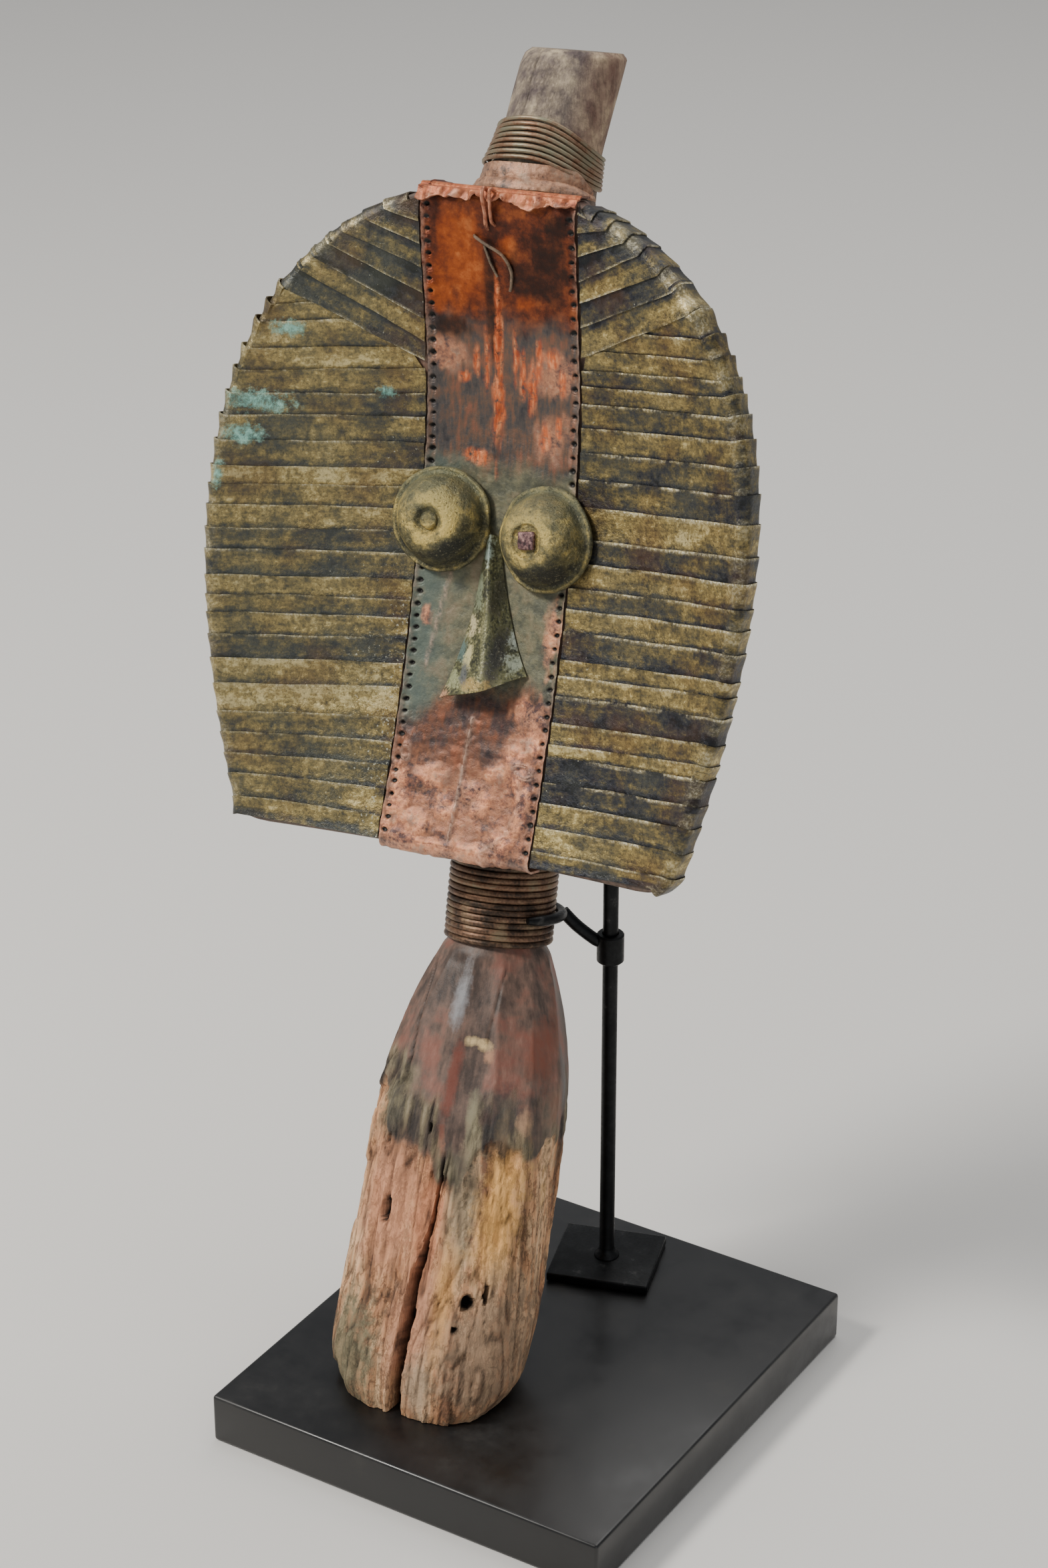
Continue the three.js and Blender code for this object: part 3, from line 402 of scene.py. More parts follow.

# %% [markdown]
# ## Steps that the finishes share
# Each old surface here came about in the same way: a ground colour from the making, stains where
# hands, smoke or damp got at it, and single spots. So the materials share three steps. Stains
# follow a noise or a mark on the mesh, spots lie where the photograph shows them, and the last nodes
# turn a height into bumps and join the whole to the surface. Some of the stains and spots below are
# painted highlights, and some are painted shade.

# %% Stains, spots and the last nodes


def stained(tree, colour, *stains):
    """Lays stains over a colour.

    A stain is (value, low, high, most, colour): there is none of it where the value is at low, and
    the share most where it is at high or past it.
    """
    for value, low, high, most, over in stains:
        share = node(tree, "MapRange", {"Value": value, "From Min": low, "From Max": high, "To Max": most})
        colour = node(tree, "Mix", {"Factor": share, "A": colour, "B": over}, data_type="RGBA")
    return colour


def spot_distance(tree, place, x, z, wide, tall, y=0.0, depth=0.0):
    """How far a place is from a spot, as a share of the spot's half width and half height."""
    away = node(tree, "VectorMath", {0: place, 1: (x * MM, y * MM, z * MM)}, operation="SUBTRACT")
    away = node(tree, "VectorMath", {0: away, 1: (1 / (wide * MM), depth, 1 / (tall * MM))},
                operation="MULTIPLY")
    return node(tree, "VectorMath", {0: away}, operation="LENGTH").outputs["Value"]


def spotted(tree, colour, place, spots, ragged, rough, rim, **depth):
    """Lays spots (x, z, half width, half height, colour) with ragged rims over a colour."""
    for *spot, over in spots:
        far = spot_distance(tree, place, *spot, **depth)
        far = node(tree, "Math", {0: ragged, 1: -rough, 2: far}, operation="MULTIPLY_ADD")
        colour = stained(tree, colour, (far, *rim, 0.85, over))
    return colour


def finish(material, sockets, relief, strength, height):
    """Ends a material: relief becomes bumps of a height in millimetres, and sockets set the rest."""
    tree = material.node_tree
    bump = node(tree, "Bump", {"Height": relief, "Strength": strength, "Distance": height * MM})
    surface = node(tree, "BsdfPrincipled", {**sockets, "Normal": bump})
    node(tree, "OutputMaterial", {"Surface": surface})
    print(material.name, "has", len(tree.nodes), "nodes")


# %% [markdown]
# ## Tarnished brass
# Old brass sheet is a yellow metal under a skin of oxide: blue-black where it never was touched,
# olive where it was handled, and bright where an edge or a bend is rubbed. Those bright edges, with
# their white glints, are partly painted highlight. Every strip has a tone of its own, kept on its
# vertices and darkened at its foot as painted shade under its neighbour's edge. Noise along the strip
# breaks that tone up, a ramp turns it into colour, and the rubbed edges, the verdigris at the left
# temple and the dust lie over it. The hammering and the pits are drawn coarser than they are, since
# they would vanish in the picture.

# %% Brass strip material
brass, tree = new_material("hammered_brass_sheet_tarnished")
tone, rub_and_highlight, along, across = (node(tree, "Attribute", attribute_name=mark).outputs["Fac"]
                            for mark in STRIP_MARKS)
place = figure_space(tree)
sheet_place = node(tree, "CombineXYZ", {"X": along, "Y": across})
smudged, drawn_out = (node(tree, "VectorMath", {0: sheet_place, 1: (squeeze, 1, 1)}, operation="MULTIPLY")
                      for squeeze in (0.45, 0.16))
cloud, streak, speck, mottle, warm, crust, grit = (
    node(tree, "TexNoise", {"Vector": vector, "Scale": 1 / (size * MM), "Detail": detail,
                            "Roughness": roughness})
    for vector, size, detail, roughness in (
        (smudged, 11, 6, 0.68), (drawn_out, 1.3, 3, 0.5), (place, 1.1, 2, 0.7), (place, 3.2, 6, 0.75),
        (place, 22, 4, 0.5), (place, 4, 7, 0.75), (place, 1.3, 3, 0.5)))
# The tone mark also holds the painted shade at each strip's foot.
shade = tone
for pattern, weight in ((cloud, 1.5), (streak, 0.3), (mottle, 1.3)):
    shade = node(tree, "Math", {0: pattern, 1: weight, 2: shade}, operation="MULTIPLY_ADD")
shade = node(tree, "Math", {0: shade, 1: 1.52}, operation="SUBTRACT")
oxide = node(tree, "ValToRGB", {"Fac": shade}, stops=[
    (0.0, "#181a1f"), (0.16, "#30323a"), (0.3, "#484640"), (0.44, "#655c44"), (0.58, "#86774f"),
    (0.74, "#ae9962"), (0.92, "#e0ce96")])
# The last stain darkens the loose edges a little: a thin line of painted shade.
colour = stained(tree, oxide, (warm, 0.5, 0.7, 0.4, "#6e4c2e"), (warm, 0.5, 0.3, 0.35, "#5c5f55"),
                 (speck, 0.47, 0.35, 0.45, "#2a2822"), (rub_and_highlight, 0, 1, 0.2, "#2a251b"))
print("brown, grey-green and pitted stains lie on the oxide")

# %% Rubbed edges, painted highlights and glints
# The rub mark is partly wear and partly painted highlight; its bright chips and white glints are painted
# highlights along the loose edges and bends.
rubbed_and_highlit = rub_and_highlight
for pattern, low, high, bright in ((cloud, 0.44, 0.6, "#c4b68a"), (speck, 0.5, 0.58, "#f6efd4")):
    chips = node(tree, "MapRange", {"Value": pattern, "From Min": low, "From Max": high})
    rubbed_and_highlit = node(tree, "Math", {0: rubbed_and_highlit, 1: chips}, operation="MULTIPLY")
    colour = node(tree, "Mix", {"Factor": rubbed_and_highlit, "A": colour, "B": bright}, data_type="RGBA")
print("bright chips and glints lie on the loose edges")

# %% Verdigris and dust over the brass
VERDIGRIS = ((-100, 39, 26, 8), (-105, 26, 15, 9), (-113, 9, 5, 12), (-88, 69, 15, 6), (-50, 48, 8, 5))
green = 0.0
for spot in VERDIGRIS:
    far = spot_distance(tree, place, *spot, depth=5)
    near = node(tree, "MapRange", {"Value": far, "From Min": 1.3, "From Max": 0.2})
    green = node(tree, "Math", {0: near, 1: green}, operation="MAXIMUM")
green = node(tree, "Math", {0: green, 1: 0.56, 2: crust}, operation="MULTIPLY_ADD")
green = node(tree, "MapRange", {"Value": green, "From Min": 0.86, "From Max": 1.1, "To Max": 0.9})
verdigris = node(tree, "ValToRGB", {"Fac": crust}, stops=[
    (0.36, "#4e7f78"), (0.5, "#7db8ac"), (0.66, "#a9dccb")])
colour = node(tree, "Mix", {"Factor": green, "A": colour, "B": verdigris}, data_type="RGBA")
on_face = node(tree, "SeparateXYZ", {"Vector": place})
colour = stained(tree, colour, (on_face.outputs["X"], -0.02, -0.06, 0.12, "#828773"))
from_middle = node(tree, "Math", {0: on_face.outputs["X"]}, operation="ABSOLUTE")
dusty = 1.0
for value, low, high, least in ((from_middle, 0.075, 0.035, 0.0), (on_face.outputs["X"], 0.0, -0.02, 0.45),
                                (on_face.outputs["Z"], 0.0, -0.05, 0.35)):
    share = node(tree, "MapRange", {"Value": value, "From Min": low, "From Max": high, "To Min": least})
    dusty = node(tree, "Math", {0: dusty, 1: share}, operation="MULTIPLY")
dust = node(tree, "Math", {0: dusty, 1: 0.14, 2: grit}, operation="MULTIPLY_ADD")
dust = node(tree, "MapRange", {"Value": dust, "From Min": 0.74, "From Max": 0.82, "To Max": 0.8})
colour = node(tree, "Mix", {"Factor": dust, "A": colour, "B": "#bcbca8"}, data_type="RGBA")
dull = node(tree, "Math", {0: green, 1: dust}, operation="MAXIMUM")
metal = node(tree, "MapRange", {"Value": shade, "From Min": 0.1, "From Max": 0.8, "To Min": 0.55,
                                "To Max": 0.9})
metal = node(tree, "Mix", {"Factor": dull, "A": metal, "B": 0.0}, data_type="FLOAT")
matt = node(tree, "MapRange", {"Value": mottle, "From Min": 0.3, "From Max": 0.7, "To Min": 0.28,
                               "To Max": 0.55})
matt = node(tree, "Mix", {"Factor": dull, "A": matt, "B": 0.9}, data_type="FLOAT")
relief = node(tree, "Math", {0: mottle, 1: 1.6, 2: speck}, operation="MULTIPLY_ADD")
relief = node(tree, "Math", {0: green, 1: 0.8, 2: relief}, operation="MULTIPLY_ADD")
finish(brass, {"Base Color": colour, "Metallic": metal, "Roughness": matt}, relief, 0.6, 0.4)

# %% [markdown]
# ## Laying the strips
# The level strips climb from the chin to the temple, each lapping the foot of the next. At the
# temples a fan of slanted strips laps downwards over them. The joints' heights and each strip's tone
# were set one by one beside the photograph, because no two strips are alike.

# %% Level strips
SIDES = {"left": -1, "right": 1}
LEVEL_RIMS = {
    "left": (-128, -120.6, -111.3, -103.3, -95, -86.8, -75.6, -66, -56.4, -47.6, -40.4, -32.6, -22,
             -13.5, -4.2, 4.3, 11.6, 22, 32.4, 41.5, 51, 60, 71, 78.5, 86),
    "right": (-128, -121.6, -111.3, -101, -91.8, -81, -75.9, -67.5, -56.8, -48.7, -42.5, -31.8, -22.8,
              -14.8, -4.8, 4.8, 17, 28, 38.5, 48, 57, 64, 70, 77.5, 85, 93),
}
LEVEL_TONES = {
    "left": (.62, .56, .5, .48, .52, .78, .67, .36, .58, .52, .6, .39, .34, .67, .57, .74, .46, .48, .38,
             .58, .7, .62, .57, .62),
    "right": (.46, .59, .46, .26, .18, .7, .54, .24, .6, .64, .34, .59, .48, .54, .3, .64, .36, .38, .52,
              .42, .56, .44, .59, .54, .46),
}
FANS = {
    "left": ((62, 86), (70, 94), (78.3, 100), (88.6, 105.5), (98, 111), (107, 116.5), (116, 121.5),
             (125.5, 125.8)),
    "right": ((71, 94), (82.5, 102), (92, 108), (100, 114.5), (109, 118.5), (118, 122.5),
              (125, 125.4), (129.8, 127.4)),
}
SLOPE = {"left": 7.5, "right": -4.5}
SLOPE_FROM, SLOPE_FADE = HEAD_BOTTOM + 3, 45
LIFT, TUCK, OVERLAP, FAN_COVER, SHORTEST_STRIP = 0.75, 1.4, 0.4, 3.0, 6.0
NODE_STRIPS = 22


def fan_start(word, inner, outer):
    """Where a level edge leaves the fan that lies over it: its place and height there."""
    foot_in, foot_out = FANS[word][0]
    reach = half_width(outer) - RIM_ROUND - STRIP_START
    foot_reach = half_width(foot_out) - RIM_ROUND - STRIP_START
    gap = inner - foot_in
    closing = (foot_out - foot_in) / foot_reach - (outer - inner) / reach
    run = min(max(0.0, gap / closing - FAN_COVER), reach - SHORTEST_STRIP) if gap > 0 else 0.0
    return STRIP_START + run, inner + (outer - inner) * run / reach


def level_edge(word, outer, lift, lap):
    """A level strip's edge; it slopes less near the chin, and lies flat where a fan covers its start."""
    inner = outer + SLOPE[word] * min(1, max(0, (outer - SLOPE_FROM) / SLOPE_FADE))
    start, height = fan_start(word, inner, outer)
    return start, height + lap, outer + lap, 0.0 if start > STRIP_START + 1 else lift, lift


temple_meshes = {}
for word, sign in SIDES.items():
    rims = LEVEL_RIMS[word]
    temple_meshes[word] = new_mesh(*STRIP_MARKS)
    for k, (low, high) in enumerate(zip(rims, rims[1:])):
        bm, marks = new_mesh(*STRIP_MARKS) if k < NODE_STRIPS else temple_meshes[word]
        add_strip(bm, marks, sign, level_edge(word, low, 0, -TUCK if k else 0.0),
                  level_edge(word, high, LIFT, OVERLAP), LEVEL_TONES[word][k], k + 1 + 50 * (sign > 0))
        if k < NODE_STRIPS:
            number = f"{k + 1:02d}"
            make_piece(bm, f"brass_strip_{word}_{number}", brass,
                       [f"strip_{word}_{number}"])
print("level strips:", 2 * NODE_STRIPS)

# %% Temple fans
FAN_RAISE, FAN_LIFT = 0.3, 0.1
FAN_TONES = {"left": (.3, .62, .06, .4, .44, .42, .38), "right": (.54, .28, .58, .2, .4, .46, .56)}
for word, sign in SIDES.items():
    bm, marks = temple_meshes[word]
    steps = FANS[word]
    for k, (low, high) in enumerate(zip(steps, steps[1:])):
        lap = TUCK if k + 2 < len(steps) else 0.0
        raised = LIFT + (FAN_RAISE if k == 0 else 0)
        add_strip(bm, marks, sign, (STRIP_START, low[0], low[1], raised, raised),
                  (STRIP_START, high[0] + lap, high[1] + lap, FAN_LIFT, FAN_LIFT), FAN_TONES[word][k],
                  k + 30 + 50 * (sign > 0), free="lower")
    make_piece(bm, f"brass_fan_{word}", brass, [f"temple_strips_{word}"])
print("fan strips:", sum(len(f) - 1 for f in FANS.values()))

# %% [markdown]
# ## The copper plate
# One sheet of copper runs down the middle, over the crown and under the chin. It was beaten over the
# wood and pricked with a row of small holes inside each edge. A fine grid, closest along those
# edges and the middle, takes the holes, the raised line at the chin and the hammering as real
# relief. The folded lip at the crown is a second, ragged sheet.

# %% Plate relief
PLATE_SHEET = 0.9
HOLE_ROWS = {-1: (-30.9, 4.75), 1: (31.0, 5.35)}
HOLE_SIZE = 1.35
CHIN_RIDGE = ((-1.5, -76), (-3.2, -123))
SCRATCH = ((-18.4, -20), (-25, -57))
BROW_FOLD = ((-2.0, 95), (-3.6, 30))
CURL = ((11, -127), (21, -118), (24.6, -106), (23.4, -97))


def hole_depth(x, z):
    """How deep in a pricked hole a point is, from 0 to 1."""
    row, pitch = HOLE_ROWS[-1 if x < 0 else 1]
    number = round(z / pitch)
    sway = 0.5 * wobble(1, 3.7 * number, row)
    size = HOLE_SIZE * (1 + 0.3 * wobble(1, 5.3 * number, row, 2))
    return bell(math.hypot(x - row - sway, z - number * pitch - sway), size)


def line_mark(x, z, line, width):
    """A raised line between two places."""
    start, end = (Vector(point) for point in line)
    run, away = end - start, Vector((x, z)) - start
    share = min(1.0, max(0.0, away.dot(run) / run.length_squared))
    return bell((away - run * share).length, width)


def curl(x, z):
    """The pale curled line at the right of the chin."""
    return max(line_mark(x, z, line, width) for line, width in zip(zip(CURL, CURL[1:]), (0.8, 0.8, 0.7)))


def loops(x, z):
    """The rims of two small loops punched at the cheeks."""
    left = math.hypot((x + 27.6) / 0.7, z + 92)
    right = math.hypot(x - 24.2, (z + 92 + 0.25 * (x - 24)) / 0.55)
    return max(bell(left - 2.9, 0.8), bell(right - 4.2, 0.9))


def plate_relief(x, z):
    """Height of the copper over its mean surface."""
    height = 0.45 * wobble(20, x, z) + 0.2 * wobble(5, x, z, 3) + 0.08 * wobble(1.8, x, z, 6)
    for line, rise, width in ((CHIN_RIDGE, 0.8, 0.7), (SCRATCH, 0.5, 0.55), (BROW_FOLD, 0.7, 1.1)):
        height += rise * line_mark(x, z, line, width)
    height += 0.6 * loops(x, z) + 0.6 * curl(x, z) + 0.8 * stain(x, z, CHIN_GLOW) * eased(-z, 78, 86)
    height += 0.35 * wobble(2.6, x, z, 9) * eased(-z, 58, 80)
    height += 0.6 * wobble(7, x, z, 4) * eased(z, 105, 122)
    edge = PLATE_HALF - 0.5 - abs(x)
    height += 2.2 * max(0, wobble(3.4, x, z, 5)) * bell(x + 31, 3.0) * eased(z, 20, 100)
    return height * eased(edge, 0.2, 2.5) + (0.35 + 0.45 * max(0, wobble(2.4, z, x, 8))) * bell(edge, 0.8)


print("pricked holes stand", " and ".join(str(pitch) for _, pitch in HOLE_ROWS.values()), "mm apart")

# %% Plate stains
EMBERS = ((-19, 103, 13, 21), (-26, 92, 7, 10), (3, 112, 3.5, 3), (10, 90, 5, 3.5))
BURNS = ((21, 104, 13, 17), (-4.5, 92, 3.2, 26), (8, 99, 6, 8), (24, 119, 7, 6), (-22, 78, 9, 5))
BRIGHT = ((-2.4, 64, 2.0, 38), (-2.9, 50, 3.2, 17), (-8, 64, 1.5, 13), (-12.5, 67, 1.1, 8),
          (-18, 59, 2.2, 2.6), (12, 57, 2.2, 12), (15, 68, 1.4, 9), (4.4, 70, 1.4, 12),
          (7.8, 62, 1.3, 10), (21, 70, 3.4, 5), (25, 60, 1.6, 6), (18, 38, 2.6, 7), (24, 43, 1.8, 6),
          (-11, 28, 5, 3.4))
CHIN_GLOW = ((27, -81, 7, 5), (20, -88, 5, 5), (23, -96, 4.5, 5), (26.5, -104, 3.8, 8),
             (25.5, -112, 3.8, 6), (20, -121, 6, 5), (-33, -123, 6, 4.5), (-24, -126, 9, 4),
             (-7, -128, 14, 3.4), (9, -127, 12, 3.4), (-25, -89, 6, 4), (-29, -103, 5, 10),
             (-21, -119, 9, 5.5), (-27, -112, 5, 7), (2, -104, 6, 4), (9, -109, 5, 5),
             (-15, -100, 9, 5), (-8, -112, 5, 5), (12, -95, 5, 3.4))
SALMONS = ((29, -38, 4.5, 15), (-27, -37, 2.8, 4.4), (24, -70, 9, 7), (21, 64, 11, 11),
           (21, 38, 10, 11), (-24, 66, 8, 8))


def stain(x, z, spots):
    """How much a place lies in a list of ragged spots: middle x, middle z, half width, half height."""
    rough = 0.42 * wobble(5, x, z / 2, 11) + 0.45 * wobble(1.9, x, z / 3.2, 12)
    return max(1 - eased(math.hypot((x - cx) / wide, (z - cz) / tall) + rough, 0.5, 1.15)
               for cx, cz, wide, tall in spots)


def plate_stains(x, z):
    """The marks crown, ember, burnt, bright, green and salmon at a place."""
    rough = 5 * wobble(11, x, z, 13) + 3 * wobble(4, x, z, 14)
    crown = max(eased(z + rough, 74, 88), 0.4 * eased(-z + rough, 58, 68))
    low_edge = 54 + 16 * eased(-x, 10, 26)
    green = eased(31 - z + rough, 0, 12) * (1 - eased(-z + rough, low_edge, low_edge + 16))
    chin = -92 + 24 * eased(x, 6, 22)
    salmon = max(eased(chin - z + rough, -3, 9) * (0.42 + 0.58 * stain(x, z, CHIN_GLOW)),
                 (0.8 if z < 0 else 0.55) * stain(x, z, SALMONS))
    return crown, stain(x, z, EMBERS), stain(x, z, BURNS), stain(x, z, BRIGHT), green, salmon


print("stains on the plate:", sum(map(len, (EMBERS, BURNS, BRIGHT, CHIN_GLOW, SALMONS))))

# %% [markdown]
# ## Patinated copper
# Copper takes a different skin wherever it was treated differently. At the crown heat and hands left
# it red-brown with glowing and burnt places, the middle is grey-green, and the chin glows salmon.
# Where it was rubbed it is bright. Its raised lines, burrs and crumpled crests are painted pale, wear
# and painted highlight together, the lip's hollows and the band's crease are painted dark as painted
# shade, and the pricked holes are painted nearly black, also painted shade. Cloudy noise breaks each
# of these up, and its finest grains are drawn coarser than real ones, which the picture can't show.

# %% Copper at the crown
PLATE_MARKS = ("hole", "raised", "crown", "ember", "burn_and_shade", "bright", "green", "salmon")
copper, tree = new_material("beaten_copper_sheet_patinated")
hole, raised, crown, ember, burn_and_shade, bright, green, salmon = (
    node(tree, "Attribute", attribute_name=mark).outputs["Fac"] for mark in PLATE_MARKS)
place = figure_space(tree)
pulled = node(tree, "VectorMath", {0: place, 1: (1, 1, 0.16)}, operation="MULTIPLY")
clouds, fine, rubs, web = (
    node(tree, "TexNoise", {"Vector": vector, "Scale": 1 / (size * MM), "Detail": detail,
                            "Roughness": roughness})
    for vector, size, detail, roughness in (
        (place, 11, 6, 0.65), (place, 2.2, 5, 0.7), (pulled, 1.6, 4, 0.5), (place, 9, 6, 0.7)))
broken = node(tree, "Math", {0: fine, 1: 0.45, 2: clouds}, operation="MULTIPLY_ADD")
streaky = node(tree, "Math", {0: rubs, 1: 0.6, 2: clouds}, operation="MULTIPLY_ADD")
brown, crown_skin, glow, char, olive, chin_skin, copper_skin = (
    node(tree, "ValToRGB", {"Fac": pattern}, stops=stops) for pattern, *stops in (
        (streaky, (0.58, "#3a393c"), (0.74, "#544e4b"), (0.86, "#6b5548"), (1.0, "#855a48")),
        (broken, (0.5, "#2c150d"), (0.66, "#4e2415"), (0.78, "#74371c"), (0.92, "#995228")),
        (broken, (0.5, "#642812"), (0.66, "#8c3f18"), (0.8, "#aa531e"), (0.95, "#c6733a")),
        (broken, (0.5, "#170d09"), (0.72, "#2a160e"), (0.86, "#4a2615"), (1.0, "#6e3a1e")),
        (broken, (0.5, "#46493f"), (0.66, "#5f604e"), (0.8, "#7a785d"), (0.95, "#9a9a7e")),
        (broken, (0.58, "#5a4240"), (0.66, "#9c6853"), (0.72, "#d08862"), (0.78, "#f6ac7e"),
         (0.86, "#ffd6b0")),
        (rubs, (0.34, "#a84c2a"), (0.5, "#d26c3c"), (0.66, "#ec9a6a"))))
colour = stained(tree, brown, (crown, 0, 1, 1, crown_skin), (ember, 0, 1, 0.9, glow),
                 (burn_and_shade, 0, 1, 0.85, char))
print("glowing and burnt places lie on the crown's skin")

# %% The grey-green middle, the salmon chin and the bright copper
side = node(tree, "SeparateXYZ", {"Vector": place})
olive = stained(tree, olive, (side.outputs["X"], -0.012, -0.026, 0.6, "#5d6f68"),
                (clouds, 0.5, 0.66, 0.5, "#79604c"))
web = node(tree, "Math", {0: web, 1: 0.5}, operation="SUBTRACT")
web = node(tree, "Math", {0: web}, operation="ABSOLUTE")
chin_skin = stained(tree, chin_skin, (web, 0.06, 0.0, 0.5, "#f2ab7e"), (clouds, 0.5, 0.6, 0.7, "#6f4440"))
colour = stained(tree, colour, (green, 0, 1, 0.92, olive), (salmon, 0, 1, 1, chin_skin))
# Rubbed copper shows bare; raised relief is painted pale, wear and painted highlight together.
for mark, low, high, most, bare_metal in ((bright, 0.34, 0.52, 1.0, copper_skin),
                                          (raised, 0.36, 0.56, 0.8, "#d2b19c")):
    rubbed_and_highlit = node(tree, "MapRange", {"Value": fine, "From Min": low, "From Max": high, "To Max": most})
    rubbed_and_highlit = node(tree, "Math", {0: mark, 1: rubbed_and_highlit}, operation="MULTIPLY")
    colour = node(tree, "Mix", {"Factor": rubbed_and_highlit, "A": colour, "B": bare_metal}, data_type="RGBA")
# The pricked holes are painted nearly black, a painted shade.
pit_and_shade = node(tree, "MapRange", {"Value": hole, "From Min": 0.22, "From Max": 0.5})
colour = node(tree, "Mix", {"Factor": pit_and_shade, "A": colour, "B": "#0b0705"}, data_type="RGBA")
patina = node(tree, "Math", {0: green, 1: salmon}, operation="MAXIMUM")
metal = node(tree, "MapRange", {"Value": patina, "To Min": 0.55, "To Max": 0.3})
metal = node(tree, "Mix", {"Factor": pit_and_shade, "A": metal, "B": 0.0}, data_type="FLOAT")
matt = node(tree, "MapRange", {"Value": fine, "From Min": 0.3, "From Max": 0.7, "To Min": 0.36,
                               "To Max": 0.62})
relief = node(tree, "Math", {0: clouds, 1: 1.2, 2: fine}, operation="MULTIPLY_ADD")
finish(copper, {"Base Color": colour, "Metallic": metal, "Roughness": matt}, relief, 0.6, 0.5)

# %% The plate's mesh
LIP = 7.0
LIP_STEPS, BEND_STEPS = 6, 5
MARK_HEIGHTS = {"chin": -126, "crown": 128}


def spread(*spans):
    """Places from a list of (end, step) spans, each filled evenly."""
    places = [spans[0][0]]
    for end, step in spans[1:]:
        count = max(1, round((end - places[-1]) / step))
        first = places[-1]
        places += [first + (end - first) * (k + 1) / count for k in range(count)]
    return places


def plate_point(x, station, off):
    """A point at height off over the wood; station is where along the plate from lip to lip."""
    part, share = station
    if part == "face":
        return Vector((x, wood_front(x, share) - off, share))
    up = 1 if part.startswith("crown") else -1
    z = (HEAD_TOP if up > 0 else HEAD_BOTTOM) - up * RIM_ROUND
    y = wood_front(x, z) + RIM_ROUND
    reach = RIM_ROUND + off
    if part.endswith("bend"):
        turn = share * math.pi / 2
        return Vector((x, y - reach * math.cos(turn), z + up * reach * math.sin(turn)))
    return Vector((x, y + LIP * share, z + up * reach))


plate_edge = PLATE_HALF - 0.3
plate_x = spread((-plate_edge, 0), (-28.6, 0.5), (-5.5, 1.25), (0.5, 0.5), (28.6, 1.25),
                 (plate_edge, 0.5))
plate_z = spread((HEAD_BOTTOM + RIM_ROUND, 0), (HEAD_TOP - RIM_ROUND, 0.62))
lip_shares = [k / LIP_STEPS for k in range(1, LIP_STEPS + 1)]
bend_shares = [k / BEND_STEPS for k in range(1, BEND_STEPS + 1)]
stations = [("chin lip", t) for t in lip_shares[::-1]] + [("chin bend", t) for t in bend_shares[::-1]]
stations += [("face", z) for z in plate_z] + [("crown bend", t) for t in bend_shares]
stations += [("crown lip", t) for t in lip_shares]
bm, plate_layers = new_mesh(*PLATE_MARKS)
grid = flat_grid(bm, len(plate_x), len(stations))
for k, vert in enumerate(grid):
    station = stations[k // len(plate_x)]
    x = plate_x[k % len(plate_x)]
    on_face = station[0] == "face"
    z = station[1] if on_face else MARK_HEIGHTS[station[0].split()[0]]
    x_waved = x * (1 + 0.016 * wobble(14, z, seed=1 + (x > 0)) + 0.012 * wobble(3, z, seed=5 + (x > 0)))
    # The sheet sinks at each pricked hole, and a small burr stands round it
    pricked = hole_depth(x, z) if on_face else 0
    off = SKIN_GAP + PLATE_SHEET + max(-0.1, plate_relief(x, z)) - 1.6 * pricked
    off += 0.35 * bell(pricked - 0.25, 0.15) * on_face
    vert.co = plate_point(x_waved, station, off)
    # Raised lines, burrs at the edges and the chin bend are painted pale, wear and painted highlight
    # together.
    burr = min(0.4, max(0, 0.6 + 1.2 * wobble(3.4, x, z, 5)))
    raised_and_highlit = max(line_mark(x, z, CHIN_RIDGE, 0.9), 0.5 * curl(x, z), 0.6 * loops(x, z),
                 0.6 * line_mark(x, z, SCRATCH, 0.6), burr * bell(plate_edge - abs(x), 1.5))
    raised_and_highlit = min(1, raised_and_highlit + 0.35 * (station[0] == "chin bend"))
    set_marks(vert, plate_layers, (pricked, raised_and_highlit, *plate_stains(x, z)))
into_sheet(bm, grid, PLATE_SHEET, sample=30 * len(plate_x))
print("plate faces:", len(bm.faces))
make_piece(bm, "copper_plate", copper, ["face_plate"])

# %% [markdown]
# ## The folded lip, the staple and two bent nails
# At the crown the copper was folded back over itself into a crumpled lip that has torn in the
# middle. A wire staple bridges the tear, and two small nails lie bent below it. The lip is one more
# grid whose lower edge is ragged. The staple and the nails are short bars: a grid wrapped round a
# path of points, joined along its seam and filled at its ends.

# %% Wrapped grids and bars


def add_loft(bm, rings, marks=(), values=()):
    """A closed skin through rings of points, whose seam is welded and whose ends are filled."""
    sides = len(rings[0])
    grid = flat_grid(bm, sides + 1, len(rings))
    weld = {}
    for k, vert in enumerate(grid):
        row, column = divmod(k, sides + 1)
        vert.co = rings[row][column % sides]
        if marks:
            set_marks(vert, marks, values[row][column % sides])
        if column == sides:
            weld[vert] = grid[k - sides]
    bmesh.ops.weld_verts(bm, targetmap=weld)
    bmesh.ops.holes_fill(bm, edges=[e for e in bm.edges if e.is_boundary], sides=0)
    bmesh.ops.recalc_face_normals(bm, faces=bm.faces)


def bar_rings(path, radius, sides=8):
    """Rings for a bar along a path; radius is a number or one number for each point."""
    rings, side = [], None
    for k, point in enumerate(path):
        heading = (path[min(k + 1, len(path) - 1)] - path[max(k - 1, 0)]).normalized()
        side = heading.orthogonal() if side is None else side - heading * side.dot(heading)
        side.normalize()
        other = heading.cross(side)
        wide = radius[k] if isinstance(radius, (list, tuple)) else radius
        rings.append([point + wide * (side * math.cos(a) + other * math.sin(a))
                      for a in (2 * math.pi * j / sides for j in range(sides))])
    return rings


